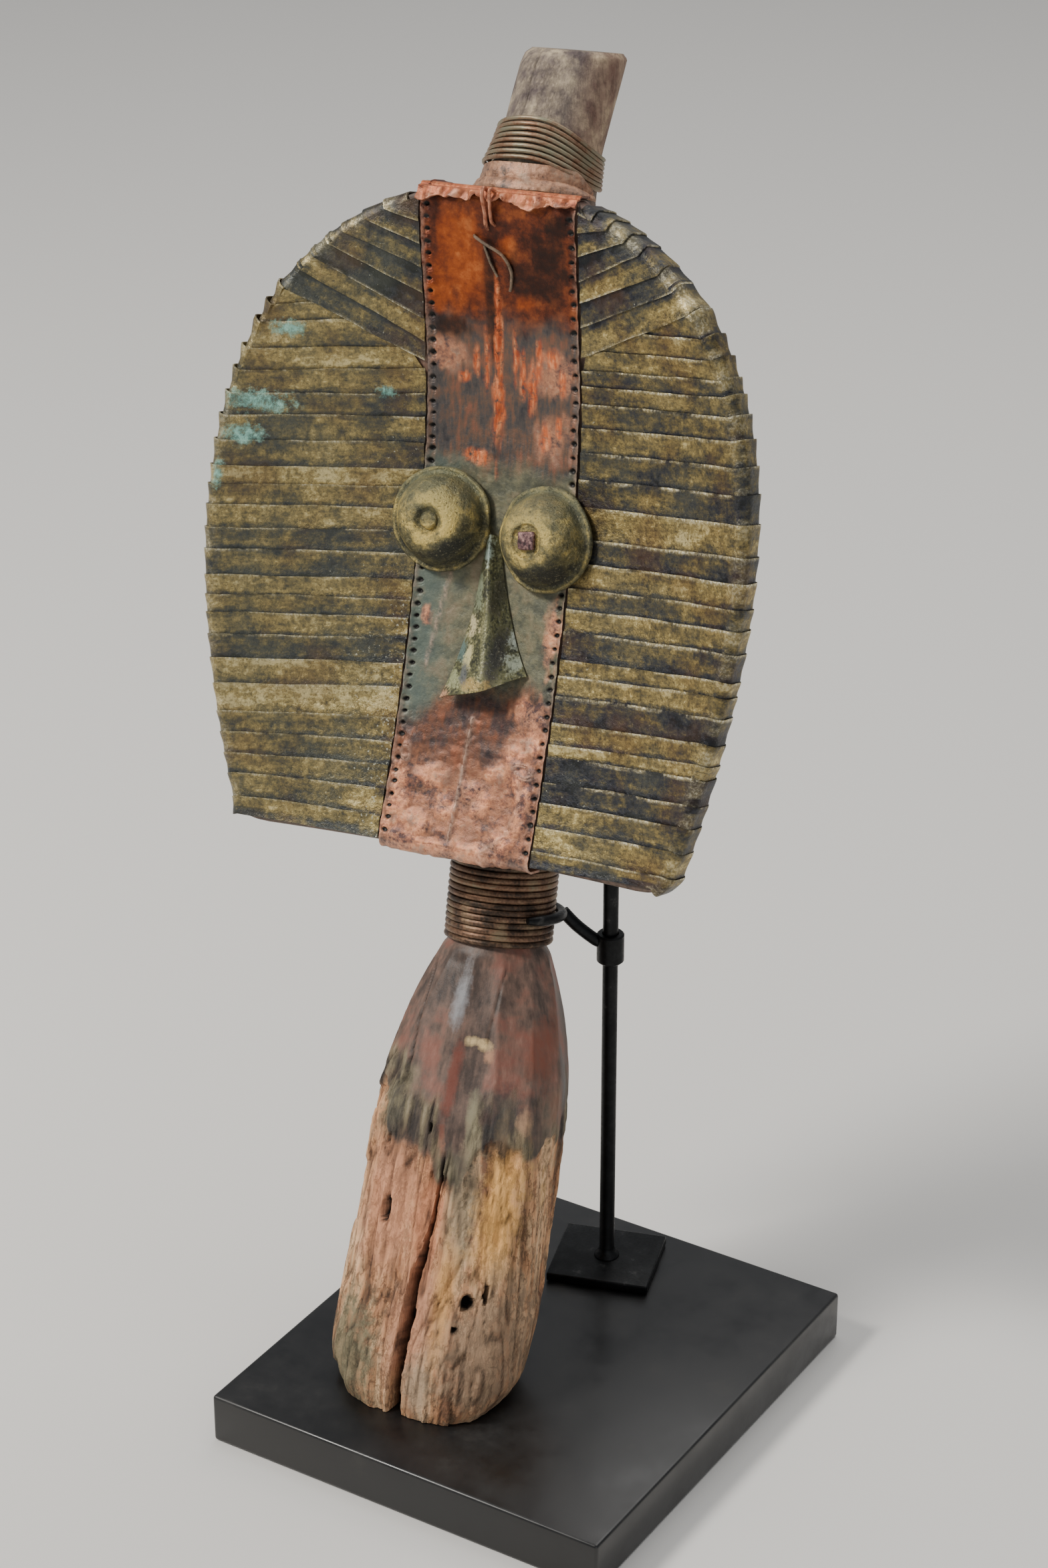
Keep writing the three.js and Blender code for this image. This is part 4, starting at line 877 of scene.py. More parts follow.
def smooth_path(points, steps=8):
    """A smooth curve through a few points."""
    points = [Vector(p) for p in points]
    path = []
    for k in range(len(points) - 1):
        a, b = points[max(k - 1, 0)], points[k]
        c, d = points[k + 1], points[min(k + 2, len(points) - 1)]
        for j in range(steps):
            t = j / steps
            path.append(0.5 * ((2 * b) + (c - a) * t + (2 * a - 5 * b + 4 * c - d) * t * t
                               + (3 * b - a - 3 * c + d) * t ** 3))
    return path + [points[-1]]


print("a smooth path through 4 points has", len(smooth_path([(k, 0, 0) for k in range(4)])), "points")

# %% Crumpled lip
LIP_COLUMNS, LIP_ROWS = 130, 14
LIP_HALF, LIP_SHEET, LIP_FOLD = PLATE_HALF + 0.6, 0.7, 0.25
LIP_STAIN = (0.0, 0.4, 1.0, 0.6, 0.0, 0.4, 0.0, 0.36)
GREEN_STAIN = (0.0, 0.25, 0.8, 0.0, 0.5, 0.0, 0.55, 0.0)


def over_plate(x, z, off):
    """A place over the copper plate."""
    return Vector((x, wood_front(x, z) - SKIN_GAP - PLATE_SHEET - off, z))


bm, plate_layers = new_mesh(*PLATE_MARKS)
grid = flat_grid(bm, LIP_COLUMNS + 1, LIP_ROWS + 1)
for k, vert in enumerate(grid):
    row, column = divmod(k, LIP_COLUMNS + 1)
    x = (2 * column / LIP_COLUMNS - 1) * LIP_HALF
    t = row / LIP_ROWS
    # How far the lip hangs down: short at its two tears, long beside them
    tear = max(bell(x + 8.0, 2.2), bell(x - 2.6, 2.4))
    reach = 4.6 + 1.6 * wobble(8, x) + 1.4 * wobble(2.4, x, 3) - 3.6 * tear + 3.6 * bell(x - 13, 5)
    reach = max(0.8, reach + 2.4 * bell(x + 31, 4))
    drop = reach * t
    crumple = 2.0 * wobble(4.0, x, drop, 5) * (0.3 + t) + 0.9 * wobble(9, x, drop, 2)
    if t < LIP_FOLD:
        # The fold itself, over the rim of the crown
        turn = t / LIP_FOLD * math.pi / 2
        off = 1.0 + 1.5 * math.sin(turn)
        vert.co = (x, wood_front(x, HEAD_TOP - 3) + 2.0 - off * 1.2 - 0.4 * max(0, crumple),
                   HEAD_TOP + 1.7 * math.cos(turn))
    else:
        z = HEAD_TOP - drop + LIP_FOLD * reach + 0.1
        off = SKIN_GAP + PLATE_SHEET + 1.2 + max(-0.5, crumple) + 1.5 * t * t
        vert.co = (x, wood_front(x, min(z, HEAD_TOP - 3)) - off, z)
    set_marks(vert, plate_layers, LIP_STAIN)
    # The crumple's crests are painted pale and its hollows dark: painted highlight and painted shade.
    vert[plate_layers[PLATE_MARKS.index("raised")]] = 0.3 * t ** 4 + 0.5 * eased(crumple, 0.4, 1.3)
    vert[plate_layers[PLATE_MARKS.index("burn_and_shade")]] = 0.7 * eased(-crumple, 0.0, 0.8)
into_sheet(bm, grid, LIP_SHEET, sample=(LIP_ROWS - 3) * LIP_COLUMNS)
make_piece(bm, "copper_lip", copper, ["face_plate"])
print("lip:", LIP_COLUMNS, "by", LIP_ROWS, "faces before it is given its thickness")

# %% Staple and bent nails
BARS = (
    (0.85, LIP_STAIN, ((-4.6, 130.2, -1.5), (-4.5, 131, 2.4), (-4.3, 128, 3.4), (-4.2, 122, 2.2),
                       (-4.5, 117, 1.4), (-4.3, 115.8, -0.6))),
    (0.7, LIP_STAIN, ((-1.4, 130.4, -1.0), (-1.6, 130.6, 2.6), (-1.5, 125, 2.9), (-1.9, 119, 1.7),
                      (-1.2, 117.2, -0.4))),
    (0.65, GREEN_STAIN, ((-10.6, 113, -0.5), (-9.4, 112.2, 1.4), (-4.4, 109.6, 2.1), (1.6, 106.4, 1.7),
                         (4.8, 101, 1.3), (4.4, 96, 0.7), (3.4, 93, 0.1))),
    (0.55, GREEN_STAIN, ((-6.4, 109.4, 0.4), (-5.0, 106.5, 1.4), (-3.6, 102.5, 1.3), (-1.6, 98, 0.4))),
)
bm, plate_layers = new_mesh(*PLATE_MARKS)
for thick, stains, line in BARS:
    rings = bar_rings(smooth_path([over_plate(*p) for p in line]), thick)
    add_loft(bm, rings, plate_layers, [[stains] * len(rings[0]) for _ in rings])
make_piece(bm, "copper_staple_and_nails", copper, ["face_plate"])
print("bars of wire and nail:", len(BARS))

# %% [markdown]
# ## The eyes
# Each eye is a boss beaten out of thick brass: a dome on a narrow rolled flange, dished at its top
# for the nail that holds it. A profile is spun round the nail's axis, pushed about a little by
# noise, and given its thickness. The left nail has a rounded head and the right one a square head.

# %% Eye seats
EYE_SPACING, EYE_RADIUS, EYE_GAP = 23.4, 21.0, 0.3
PLATE_COVER, STRIP_COVER = 1.3, 1.5


def covered_front(x, z):
    """The front of the sheet metal over the wood."""
    return wood_front(x, z) - SKIN_GAP - (PLATE_COVER if abs(x) <= PLATE_HALF + 0.3 else STRIP_COVER)


def seat(x, z):
    """A place on the face for a round boss, and the direction it looks in."""
    slope_x = (wood_front(x + 6, z) - wood_front(x - 6, z)) / 12
    slope_z = (wood_front(x, z + 6) - wood_front(x, z - 6)) / 12
    out = Vector((slope_x, -1, slope_z)).normalized()
    foot = Vector((x, 0, z))
    heights = []
    for turn in range(48):
        for share in (0.25, 0.5, 0.75, 0.9, 1):
            px = x + EYE_RADIUS * share * math.cos(turn * math.pi / 24)
            pz = z + EYE_RADIUS * share * math.sin(turn * math.pi / 24)
            heights.append((Vector((px, covered_front(px, pz), pz)) - foot).dot(out))
    return foot + out * (max(heights) + EYE_GAP), out


eye_seats = {"left": seat(-EYE_SPACING, 1.2), "right": seat(EYE_SPACING, -1.2)}
print("eye seats:", {w: tuple(round(v, 1) for v in s[0]) for w, s in eye_seats.items()})

# %% Eye and nail brass
# To the eye it is old, handled brass: olive, greener above, with pale and dark specks. The specks
# are drawn coarser than real pits.
eye_brass, tree = new_material("beaten_brass_boss_olive_patina")
place = figure_space(tree)
# The mark read here holds worn rings, a painted highlight on the left eye's upper right and painted shade on
# the lower slopes.
wear_and_light = node(tree, "Attribute", attribute_name="wear_and_light").outputs["Fac"]
clouds, grains, grit = (
    node(tree, "TexNoise", {"Vector": place, "Scale": 1 / (size * MM), "Detail": detail,
                            "Roughness": roughness})
    for size, detail, roughness in ((9, 5, 0.6), (1.0, 2, 0.7), (2.6, 6, 0.8)))
shade = node(tree, "Math", {0: grit, 1: 0.7, 2: clouds}, operation="MULTIPLY_ADD")
shade = node(tree, "Math", {0: wear_and_light, 1: 0.18, 2: shade}, operation="MULTIPLY_ADD")
patina = node(tree, "ValToRGB", {"Fac": shade}, stops=[
    (0.58, "#2f3029"), (0.72, "#57543c"), (0.82, "#7c7450"), (0.91, "#a3935e"), (1.0, "#d9c174")])
upper = node(tree, "SeparateXYZ", {"Vector": place})
upper = node(tree, "MapRange", {"Value": upper.outputs["Z"], "From Min": 0.0, "From Max": 0.016,
                                "To Max": 1.1})
upper = node(tree, "Math", {0: upper, 1: clouds}, operation="MULTIPLY")
colour = stained(tree, patina, (upper, 0, 1, 1, "#7f856d"), (grains, 0.58, 0.7, 0.5, "#b3ab85"),
                 (grains, 0.42, 0.32, 0.6, "#33352c"))
metal = node(tree, "MapRange", {"Value": shade, "From Min": 0.6, "From Max": 1.05, "To Min": 0.3,
                                "To Max": 0.75})
matt = node(tree, "MapRange", {"Value": grit, "From Min": 0.35, "From Max": 0.65, "To Min": 0.28,
                               "To Max": 0.58})
relief = node(tree, "Math", {0: grit, 1: 1.5, 2: grains}, operation="MULTIPLY_ADD")
finish(eye_brass, {"Base Color": colour, "Metallic": metal, "Roughness": matt}, relief, 0.9, 0.6)

# %% Spin the eyes
EYE_SHEET = 0.9
EYE_SEEDS = {"left": 3, "right": 8}
EYE_PROFILES = {
    "left": ((0, 14.2), (2.0, 14.2), (3.8, 14.3), (4.8, 14.8), (5.8, 15.9), (7.0, 16.4), (8.8, 16.1),
             (10.8, 15.1), (12.8, 13.6), (14.6, 11.5), (16.0, 9.1), (17.1, 6.4), (17.8, 4.2), (18.3, 2.9),
             (19.0, 2.3), (19.8, 2.5), (20.5, 2.4), (21.0, 1.6), (20.9, 0.7)),
    "right": ((0, 14.6), (2.4, 14.6), (4.6, 14.7), (6.2, 15.0), (6.7, 15.9), (7.3, 16.1), (8.2, 15.8),
              (9.8, 15.3), (11.8, 14.1), (13.8, 12.2), (15.4, 9.9), (16.8, 7.0), (17.7, 4.6), (18.3, 3.1),
              (19.0, 2.5), (19.8, 2.6), (20.5, 2.4), (21.0, 1.6), (20.9, 0.7)),
}


def spun(bm, profile, steps=112):
    """A profile of (radius, height) turned full round the z axis."""
    line = [bm.verts.new((r, 0, h)) for r, h in profile]
    edges = [bm.edges.new(pair) for pair in zip(line, line[1:])]
    bmesh.ops.spin(bm, geom=line + edges, cent=(0, 0, 0), axis=(0, 0, 1), dvec=(0, 0, 0),
                   angle=2 * math.pi, steps=steps, use_merge=True)
    bmesh.ops.remove_doubles(bm, verts=bm.verts, dist=1e-4)
    bmesh.ops.recalc_face_normals(bm, faces=bm.faces)


def seat_matrix(word):
    """Turns a part made along z onto its eye's axis."""
    point, out = eye_seats[word]
    return Matrix.Translation(point) @ out.to_track_quat("Z", "Y").to_matrix().to_4x4()


for word, profile in EYE_PROFILES.items():
    bm, (wear_and_light_mark,) = new_mesh("wear_and_light")
    rounded = []
    for (r, h), (r2, h2) in zip(profile, profile[1:]):
        rounded += [(r, h), ((r + r2) / 2, (h + h2) / 2)]
    spun(bm, rounded + [profile[-1]])
    if sum(f.normal.z for f in bm.faces) < 0:
        bmesh.ops.reverse_faces(bm, faces=bm.faces)
    seed = EYE_SEEDS[word]
    for vert in bm.verts:
        x, y, z = vert.co
        r = math.hypot(x, y)
        # Hands wore the ring round the nail and the flange; the left eye's upper right gets a painted
        # highlight and the lower slope a painted shade
        lit_upper_right = max(0, math.cos(math.atan2(y, x) - 0.7)) * (word == "left")
        shaded_under = max(0, -math.sin(math.atan2(y, x) - 0.25))
        vert[wear_and_light_mark] = (bell(r - 8.4, 2.6) * (0.6 + 1.6 * lit_upper_right) - 0.5 * eased(r, 17, 18.5)
                           - 1.7 * shaded_under * bell(r - 14.5, 4) + 0.8 * bell(r - 20, 0.7))
        dent = 0.5 * wobble(11, x, y, z, seed) + 0.2 * wobble(3.6, x, y, z, seed)
        edge = 1 + 0.012 * wobble(9, x, y, seed=seed) * eased(r, 15, 20)
        vert.co = Vector((x * edge, y * edge, z)) + vert.normal * dent * eased(r, 0.5, 4)
        vert.co.z = max(0.5, vert.co.z + 0.5 * eased(r, 17, 20) * wobble(10, x, y, seed=seed + 1))
    bmesh.ops.solidify(bm, geom=bm.faces[:], thickness=EYE_SHEET)
    make_piece(bm, f"brass_eye_{word}", eye_brass, [f"eye_{word}"],
               FIGURE @ seat_matrix(word), sharp=50)
print("eyes:", len(EYE_PROFILES))

# %% Forged nail brass
# A browner, rougher metal than the eyes, whose grain is drawn coarser than it is.
nail_metal, tree = new_material("forged_nail_brown_patina")
grains = node(tree, "TexNoise", {"Vector": figure_space(tree), "Scale": 1 / (1.3 * MM), "Detail": 3.0})
colour = node(tree, "ValToRGB", {"Fac": grains}, stops=[
    (0.35, "#3a2c2e"), (0.5, "#6a4f50"), (0.62, "#8d6f6a"), (0.75, "#b08f84")])
finish(nail_metal, {"Base Color": colour, "Metallic": 0.6, "Roughness": 0.55}, grains, 0.5, 0.25)

# %% Nails of the eyes
NAIL_PROFILE = ((0, 16.2), (1.4, 16.2), (2.6, 16.0), (3.4, 15.4), (3.7, 14.7), (3.7, 13.4), (0, 13.4))
NAIL_SIZE, NAIL_LIFT, NAIL_TURN = (7.2, 7.0, 3.0), 15.2, 6
bm, _ = new_mesh("wear_and_light")
spun(bm, NAIL_PROFILE, 40)
for vert in bm.verts:
    vert.co.x += 0.5 * wobble(2.4, *vert.co)
    vert.co.z += 0.5 * wobble(2.2, *vert.co, seed=2)
make_piece(bm, "nail_left", eye_brass, ["eye_nail_left"], FIGURE @ seat_matrix("left"))
bm, _ = new_mesh()
bmesh.ops.create_cube(bm, size=1)
bmesh.ops.scale(bm, vec=NAIL_SIZE, verts=bm.verts)
bmesh.ops.bevel(bm, geom=bm.edges[:], offset=0.8, segments=3, profile=0.5, affect="EDGES", material=-1)
bmesh.ops.subdivide_edges(bm, edges=bm.edges[:], cuts=2, use_grid_fill=True)
for vert in bm.verts:
    vert.co += 0.35 * Vector([wobble(2, *vert.co, seed=seed) for seed in range(3)])
    vert.co.z += NAIL_LIFT
bmesh.ops.rotate(bm, cent=(0, 0, 0), matrix=Matrix.Rotation(math.radians(NAIL_TURN), 3, "Z"),
                 verts=bm.verts)
make_piece(bm, "nail_right", nail_metal, ["eye_nail_right"], FIGURE @ seat_matrix("right"))
print("nails: one round, one square")

# %% [markdown]
# ## The nose
# The nose is one triangle of brass bent along its ridge. Its top is pinched between the eyes, its
# left corner curls off the face and its lower edge stands open. The sheet is a grid with a sharp
# fold, which smooth_vert rounds, and Solidify turns into metal a millimetre thick.

# %% Nose brass
# Thin brass gone green and grey, with pale places where it still shines and dark ones where soot
# stuck. The dark spot right of the ridge, at 9 and -47 mm, is painted shade, and the two cream spots
# left of the ridge are pale metal and partly painted highlight. Its finest grains are drawn coarser
# than they are.
NOSE_STAINS_AND_LIGHT = ((9, -47, 4, 12, "#303036"), (5, -24, 3.5, 12, "#454336"), (-4, -26, 5, 12, "#8f9a80"),
               (-4, -38, 4, 5, "#eadcae"), (-8.5, -50, 5, 5, "#66807e"), (-3.5, -52, 3, 6, "#e2d79f"),
               (-10, -60, 6, 6, "#a9ae86"), (-13, -67, 5, 3.5, "#d9a583"), (2, -61, 6, 3, "#b0965c"),
               (-4, -57, 3, 4, "#565c66"), (-1, -9, 2.4, 7, "#a9bbb2"), (13.5, -42, 2.4, 8, "#b9c2b6"),
               (15, -51, 3, 5, "#a8b09c"))
nose_brass, tree = new_material("bent_brass_sheet_green_patina")
place = figure_space(tree)
clouds = node(tree, "TexNoise", {"Vector": place, "Scale": 1 / (7 * MM), "Detail": 5.0, "Roughness": 0.6})
grains = node(tree, "TexNoise", {"Vector": place, "Scale": 1 / (1.0 * MM), "Detail": 3.0})
shade = node(tree, "Math", {0: grains, 1: 0.5, 2: clouds}, operation="MULTIPLY_ADD")
colour = node(tree, "ValToRGB", {"Fac": shade}, stops=[
    (0.5, "#363833"), (0.64, "#52533f"), (0.76, "#72714f"), (0.88, "#94906a"), (1.0, "#b8a878")])
colour = spotted(tree, colour, place, NOSE_STAINS_AND_LIGHT, shade, 3.4, (-1.55, -2.2))
colour = stained(tree, colour, (grains, 0.6, 0.72, 0.25, "#cfd0bb"), (grains, 0.44, 0.34, 0.45, "#2c2e2e"))
matt = node(tree, "MapRange", {"Value": clouds, "From Min": 0.3, "From Max": 0.7, "To Min": 0.3,
                               "To Max": 0.55})
finish(nose_brass, {"Base Color": colour, "Metallic": 0.35, "Roughness": matt}, shade, 0.8, 0.5)

# %% Fold the nose
NOSE_LEFT = ((-3.5, -2, 1.0), (-5.2, -17, 1.0), (-7, -34, 0.9), (-9.8, -48, 1.4), (-12.4, -60, 3),
             (-14.2, -68.5, 6.0))
NOSE_RIDGE = ((-1.2, -1, 3.6), (0.4, -17, 6.2), (3.6, -33, 9.2), (5.4, -46, 11.4), (6.2, -56, 13),
              (6.4, -63.5, 13.4))
NOSE_RIGHT = ((1.5, -2, 0.9), (4.2, -15, 0.8), (8.2, -29, 0.7), (12.6, -41, 0.7), (16.4, -49, 0.8),
              (20.5, -55.5, 1.6))
HALF, NOSE_SHEET, SMOOTHINGS = 12, 1.0, 9
left_line, ridge_line, right_line = (smooth_path(line) for line in (NOSE_LEFT, NOSE_RIDGE, NOSE_RIGHT))
bm, _ = new_mesh()
grid = flat_grid(bm, 2 * HALF + 1, len(left_line))
for k, vert in enumerate(grid):
    row, column = divmod(k, 2 * HALF + 1)
    on_left = column <= HALF
    start, end = (left_line[row], ridge_line[row]) if on_left else (ridge_line[row], right_line[row])
    share = column / HALF - (0 if on_left else 1)
    across, z, out = start.lerp(end, share)
    out += 1.1 * math.sin(share * math.pi) * (0.8 if on_left else -0.35)
    out += 0.35 * wobble(7, across, z, 2) + 0.15 * wobble(2.5, across, z, 4)
    vert.co = over_plate(across, z, out)
inner = [v for k, v in enumerate(grid) if 0 < k % (2 * HALF + 1) < 2 * HALF]
for _ in range(SMOOTHINGS):
    bmesh.ops.smooth_vert(bm, verts=inner, factor=0.5, use_axis_x=True, use_axis_y=True, use_axis_z=True)
into_sheet(bm, grid, NOSE_SHEET)
make_piece(bm, "brass_nose", nose_brass, ["nose"], sharp=50)
print("nose: a fold of", len(left_line), "rows")

# %% [markdown]
# ## The carved pole
# Topknot, spine and stem are one pole inside the head. Its sections change from round to a flat
# oval, and it curves backwards and forwards, so it is described by a table of sections: height,
# setback, half width, half depth, tilt and squareness. The table gives smooth rings, and the rings
# are what the chisel, the rot and the split then cut into.

# %% Pole sections
NECK_BOTTOM, NECK_RADIUS, SECTION_EASE, EASE_TOP = -171.4, 19.4, 7, 170
STEM_LONG, STEM_BACK, STEM_WIDE, STEM_DEEP = 182.0, 37.5, 42.0, 29.5
STEM = ((1.209, -.16, .667, .61, 9, 2.6), (1.044, .133, .821, .814, 9, 2.7),
        (.956, .213, .976, .949, 9, 2.7), (.769, .467, 1, .983, 10, 2.6), (.522, .613, .976, 1, 9, 2.6),
        (.396, .693, .976, .983, 8, 2.5), (.275, .827, .917, .949, 7, 2.4), (.154, .907, .774, .881, 5, 2.3),
        (.066, .96, .643, .797, 3, 2.1), (.014, .995, .538, .739, 2, 2))
NECK_AND_KNOT = ((NECK_BOTTOM, 37.5, NECK_RADIUS, NECK_RADIUS, 1, 2),
                 (-131, 37, NECK_RADIUS, NECK_RADIUS, 0, 2), (-80, 30, 15, 13, 0, 2),
                 (0, 21, 11, 10, 0, 2), (80, 14, 14, 12, 0, 2), (125, 8, 24, 18.5, 4, 2),
                 (137, 11.5, 22.5, 19.5, 10, 2), (147, 15.2, 20.2, 20.2, 17, 2),
                 (160, 20.1, 20.2, 20.2, 20.4, 2), (185, 29.8, 20.2, 21.5, -2.6, 2),
                 (187, 30.5, 18.0, 19.2, -2.6, 2))
POLE = [(NECK_BOTTOM - down * STEM_LONG, back * STEM_BACK, wide * STEM_WIDE, deep * STEM_DEEP, tilt,
         square) for down, back, wide, deep, tilt, square in STEM] + list(NECK_AND_KNOT)


def plain_section(z):
    """Setback, half width, half depth, tilt and squareness between two rows of the table."""
    for low, high in zip(POLE, POLE[1:]):
        if z <= high[0] or high is POLE[-1]:
            share = min(1, max(0, (z - low[0]) / (high[0] - low[0])))
            return [a + (b - a) * share for a, b in zip(low[1:], high[1:])]


def pole_section(z):
    """The same with the corners between the rows eased."""
    reach = max(0.4, min(SECTION_EASE, abs(z - NECK_BOTTOM) - 1, EASE_TOP - z))
    rows = [plain_section(z + reach * step) for step in (-1, -0.5, 0, 0.5, 1)]
    return [sum(w * v for w, v in zip((1, 2, 2, 2, 1), values)) / 8 for values in zip(*rows)]


def pole_point(angle, z, grow=0.0, section=None):
    """A point on the pole; angle -90 degrees is its front, and grow swells it."""
    back, wide, deep, tilt, square = section or pole_section(z)
    c, s = math.cos(angle), math.sin(angle)
    x = (wide + grow) * math.copysign(abs(c) ** (2 / square), c)
    out = (deep + grow) * math.copysign(abs(s) ** (2 / square), s)
    return Vector((x, back + out * math.cos(math.radians(tilt)), z - out * math.sin(math.radians(tilt))))


print("pole rows:", len(POLE))

# %% [markdown]
# ## Wood: what time did to it
# Above, the old skin is dark, faceted by the adze and polished by hands. Below a ragged line the
# skin is gone: the wood is eaten into long fibres, with a deep split, a knothole and smaller
# holes. Each of these is a small function of place. It gives a depth, which moves the surface, and
# a mark, which the material reads for its colour, so that relief and colour always agree.

# %% Depths and marks
WOOD_MARKS = ("bare", "soot", "dry", "pit_and_shade")
SPLIT = ((-252, 5.9, 0.5), (-268, 5.4, 0.9), (-288, 3.4, 1.6), (-303, 0.6, 3.8), (-316, 0.2, 4.8),
         (-331, -0.4, 4.4), (-350, -0.6, 5.2), (-400, -1.5, 5.8))
HOLES = ((-18.6, -279, 2.3, 6.0, 5), (24.6, -309.5, 2.9, 3.2, 8), (31.2, -305.5, 1.0, 4.0, 7),
         (21.6, -320.5, 1.2, 1.4, 5), (-22, -251, 1.0, 2.4, 3), (-2.5, -243, 0.9, 2.4, 3))
SKIN_EDGE = ((-42, -222), (-33, -230), (-27, -242), (-20, -250), (-2, -254), (5, -263), (13, -262),
             (19, -249), (27, -246), (39, -251), (42, -246))
BACK_EDGE = -246
GROOVES = ((-19, 0.8, 8, 0.55, 1.0, -178, 6, -232, 10), (14.5, 0.6, 9, 0.4, 0.6, -176, 4, -214, 9))


def split_line(z):
    """Where the split runs and how wide it is there."""
    for high, low in zip(SPLIT, SPLIT[1:]):
        if z >= low[0]:
            share = min(1, max(0, (high[0] - z) / (high[0] - low[0])))
            return [a + (b - a) * share for a, b in zip(high[1:], low[1:])]
    return SPLIT[-1][1:]


def bare_line(x, y):
    """The height below which the wood has lost its skin."""
    for left, right in zip(SKIN_EDGE, SKIN_EDGE[1:]):
        if x <= right[0] or right is SKIN_EDGE[-1]:
            edge = left[1] + (right[1] - left[1]) * eased(x, left[0], right[0])
            break
    edge += (BACK_EDGE - edge) * eased(y, 4, 30)
    step = 3 * eased(wobble(7, x, y, 9), 0.05, 0.15)
    return edge + 2.6 * wobble(9, x, y) + 2 * wobble(3.2, x, y, 2) + 1.2 * wobble(1.3, x, y, 3) + step


def front_wear(x, z, depth, pit_and_shade):
    """Adds the split, its crumbled edges, the holes and two grooves to a depth and a pit mark."""
    path, width = split_line(z)
    path += 0.8 * wobble(7, z) + 0.35 * wobble(2.2, z, 3)
    away = abs(x - path)
    cut = eased(-250 - z, 0, 12) * (1 - eased(away, 0.3 * width, 0.62 * width + 0.25))
    crumbs = bell(away - 0.7 * width, 1.4) * eased(-262 - z, 0, 20)
    depth += min(14, 3 + 3.2 * width) * cut + 0.8 * crumbs * max(0, wobble(3, x, z, 1))
    pit_and_shade = max(pit_and_shade, eased(cut, 0.15, 0.7))
    for hx, hz, wide, tall, deep in HOLES:
        reach = math.hypot((x - hx + 0.5 * wobble(2, z, hx)) / wide, (z - hz) / tall)
        depth += deep * (1 - eased(reach, 0.55, 1.1))
        pit_and_shade = max(pit_and_shade, 1 - eased(reach, 0.85, 1.15))
    groove = 0.0
    for middle, sway, wave, width, most, top, fade_in, end, fade_out in GROOVES:
        near = most * bell(x - middle - sway * wobble(wave, z), width)
        groove = max(groove, near * eased(top - z, 0, fade_in) * eased(z - end, 0, fade_out))
    return depth + groove, max(pit_and_shade, 0.85 * groove)


def stem_wear(x, y, z, front):
    """Depth of the wear at a place, and the marks (bare, soot, dry, pit)."""
    edge = bare_line(x, y)
    bare = eased(edge - z, -0.8, 1.6)
    reach = 14 + 13 * wobble(8, x, y, 3) + 8 * bell(x + 25, 7)
    soot = eased(z - edge, -3, 2) * (1 - eased(z - edge, reach, reach + 9))
    soot *= 0.3 + 0.7 * eased(wobble(10, x, y, z / 2, 21), -0.25, 0.1)
    fibre = 1 - min(1, abs(wobble(4.6, x, y, z / 28, 4)) / 0.14)
    hair = 1 - min(1, abs(wobble(1.9, x, y, z / 20, 5)) / 0.2)
    depth = bare * (1.0 + 0.45 * fibre + 0.2 * hair + 1.1 * wobble(13, x, y, z / 5, 6))
    flake = eased(wobble(9, x, y, z / 5, 7), 0.02, 0.1)
    depth += bare * (1.2 * flake + 0.5 * wobble(3.6, x, y, z / 3, 11)) + soot * (0.7 * fibre + 0.3 * hair)
    depth += 0.3 * wobble(16, x, y, z / 2, 8) * (1 - bare)
    pit_and_shade = 0.62 * fibre * max(bare, soot) + 0.2 * hair * bare
    if front:
        depth, pit_and_shade = front_wear(x, z, depth, pit_and_shade)
    return depth, (bare, soot, 0.0, pit_and_shade)


def adze_facets(angle, z, count, radius):
    """Depth of the flat cuts that an adze leaves round a pole."""
    turn = angle * count / (2 * math.pi) + 0.55 * wobble(38, z, 9 * math.cos(angle), 9 * math.sin(angle))
    cell = (turn % 1 - 0.5) * 2 * math.pi / count
    return radius / 2 * ((math.pi / count) ** 2 - cell ** 2)


def knot_wear(x, y, z, angle):
    """Depth of the cuts and the crack in the topknot, and its marks."""
    turn = math.degrees(angle) % 360
    depth = 0.45 * adze_facets(angle, z, 11, 20) + 0.22 * wobble(7, x, y, z / 3)
    depth += 1.6 * eased(z, 178.5 + 1.5 * wobble(6, x), 187) * bell((turn - 235) / 40, 1)
    crack = bell(x + 6.5 - 1.5 * wobble(14, z), 0.5) * eased(z, 150, 158) * (math.sin(angle) < 0)
    return depth + 0.5 * crack, (0, 0.35 * eased(158 - z, 0, 8), eased(z, 130, 140), 0.5 * crack)


print("split from", SPLIT[0][0], "to the foot;", len(HOLES), "holes")

# %% [markdown]
# ## Old hardwood
# The wood is a dense tropical timber. Its grain runs along the pole, so the noise that colours it
# is drawn out twelve times in that direction. The marks choose between four finishes: handled dark
# skin, bare fibre, sooty grey-green edge and the greyed end of the topknot. Fine crevices darken the
# fibre, and the pit mark paints the fibres' furrows, the splits and the holes nearly black, as painted
# shade. Skin has a dull shine, and fibre has none. The pores of such a timber are too fine for the
# picture, so the grain is drawn coarser than it is.

# %% Wood's skin, fibre and smoke
wood, tree = new_material("carved_hardwood_aged")
bare, soot, dry, pit_and_shade = (node(tree, "Attribute", attribute_name=mark).outputs["Fac"] for mark in WOOD_MARKS)
place = figure_space(tree)
drawn_out, flattened = (node(tree, "VectorMath", {0: place, 1: (1, 1, squeeze)}, operation="MULTIPLY")
                        for squeeze in (0.08, 0.4))
clouds, blotch, flakes, grain, grain_fine, band, crevice = (
    node(tree, "TexNoise", {"Vector": vector, "Scale": 1 / (size * MM), "Detail": detail,
                            "Roughness": roughness})
    for vector, size, detail, roughness in (
        (place, 20, 5, 0.6), (place, 9, 5, 0.6), (place, 7, 7, 0.75), (drawn_out, 2.4, 4, 0.6),
        (drawn_out, 0.8, 2, 0.5), (drawn_out, 9, 3, 0.5), (flattened, 6.5, 7, 0.7)))
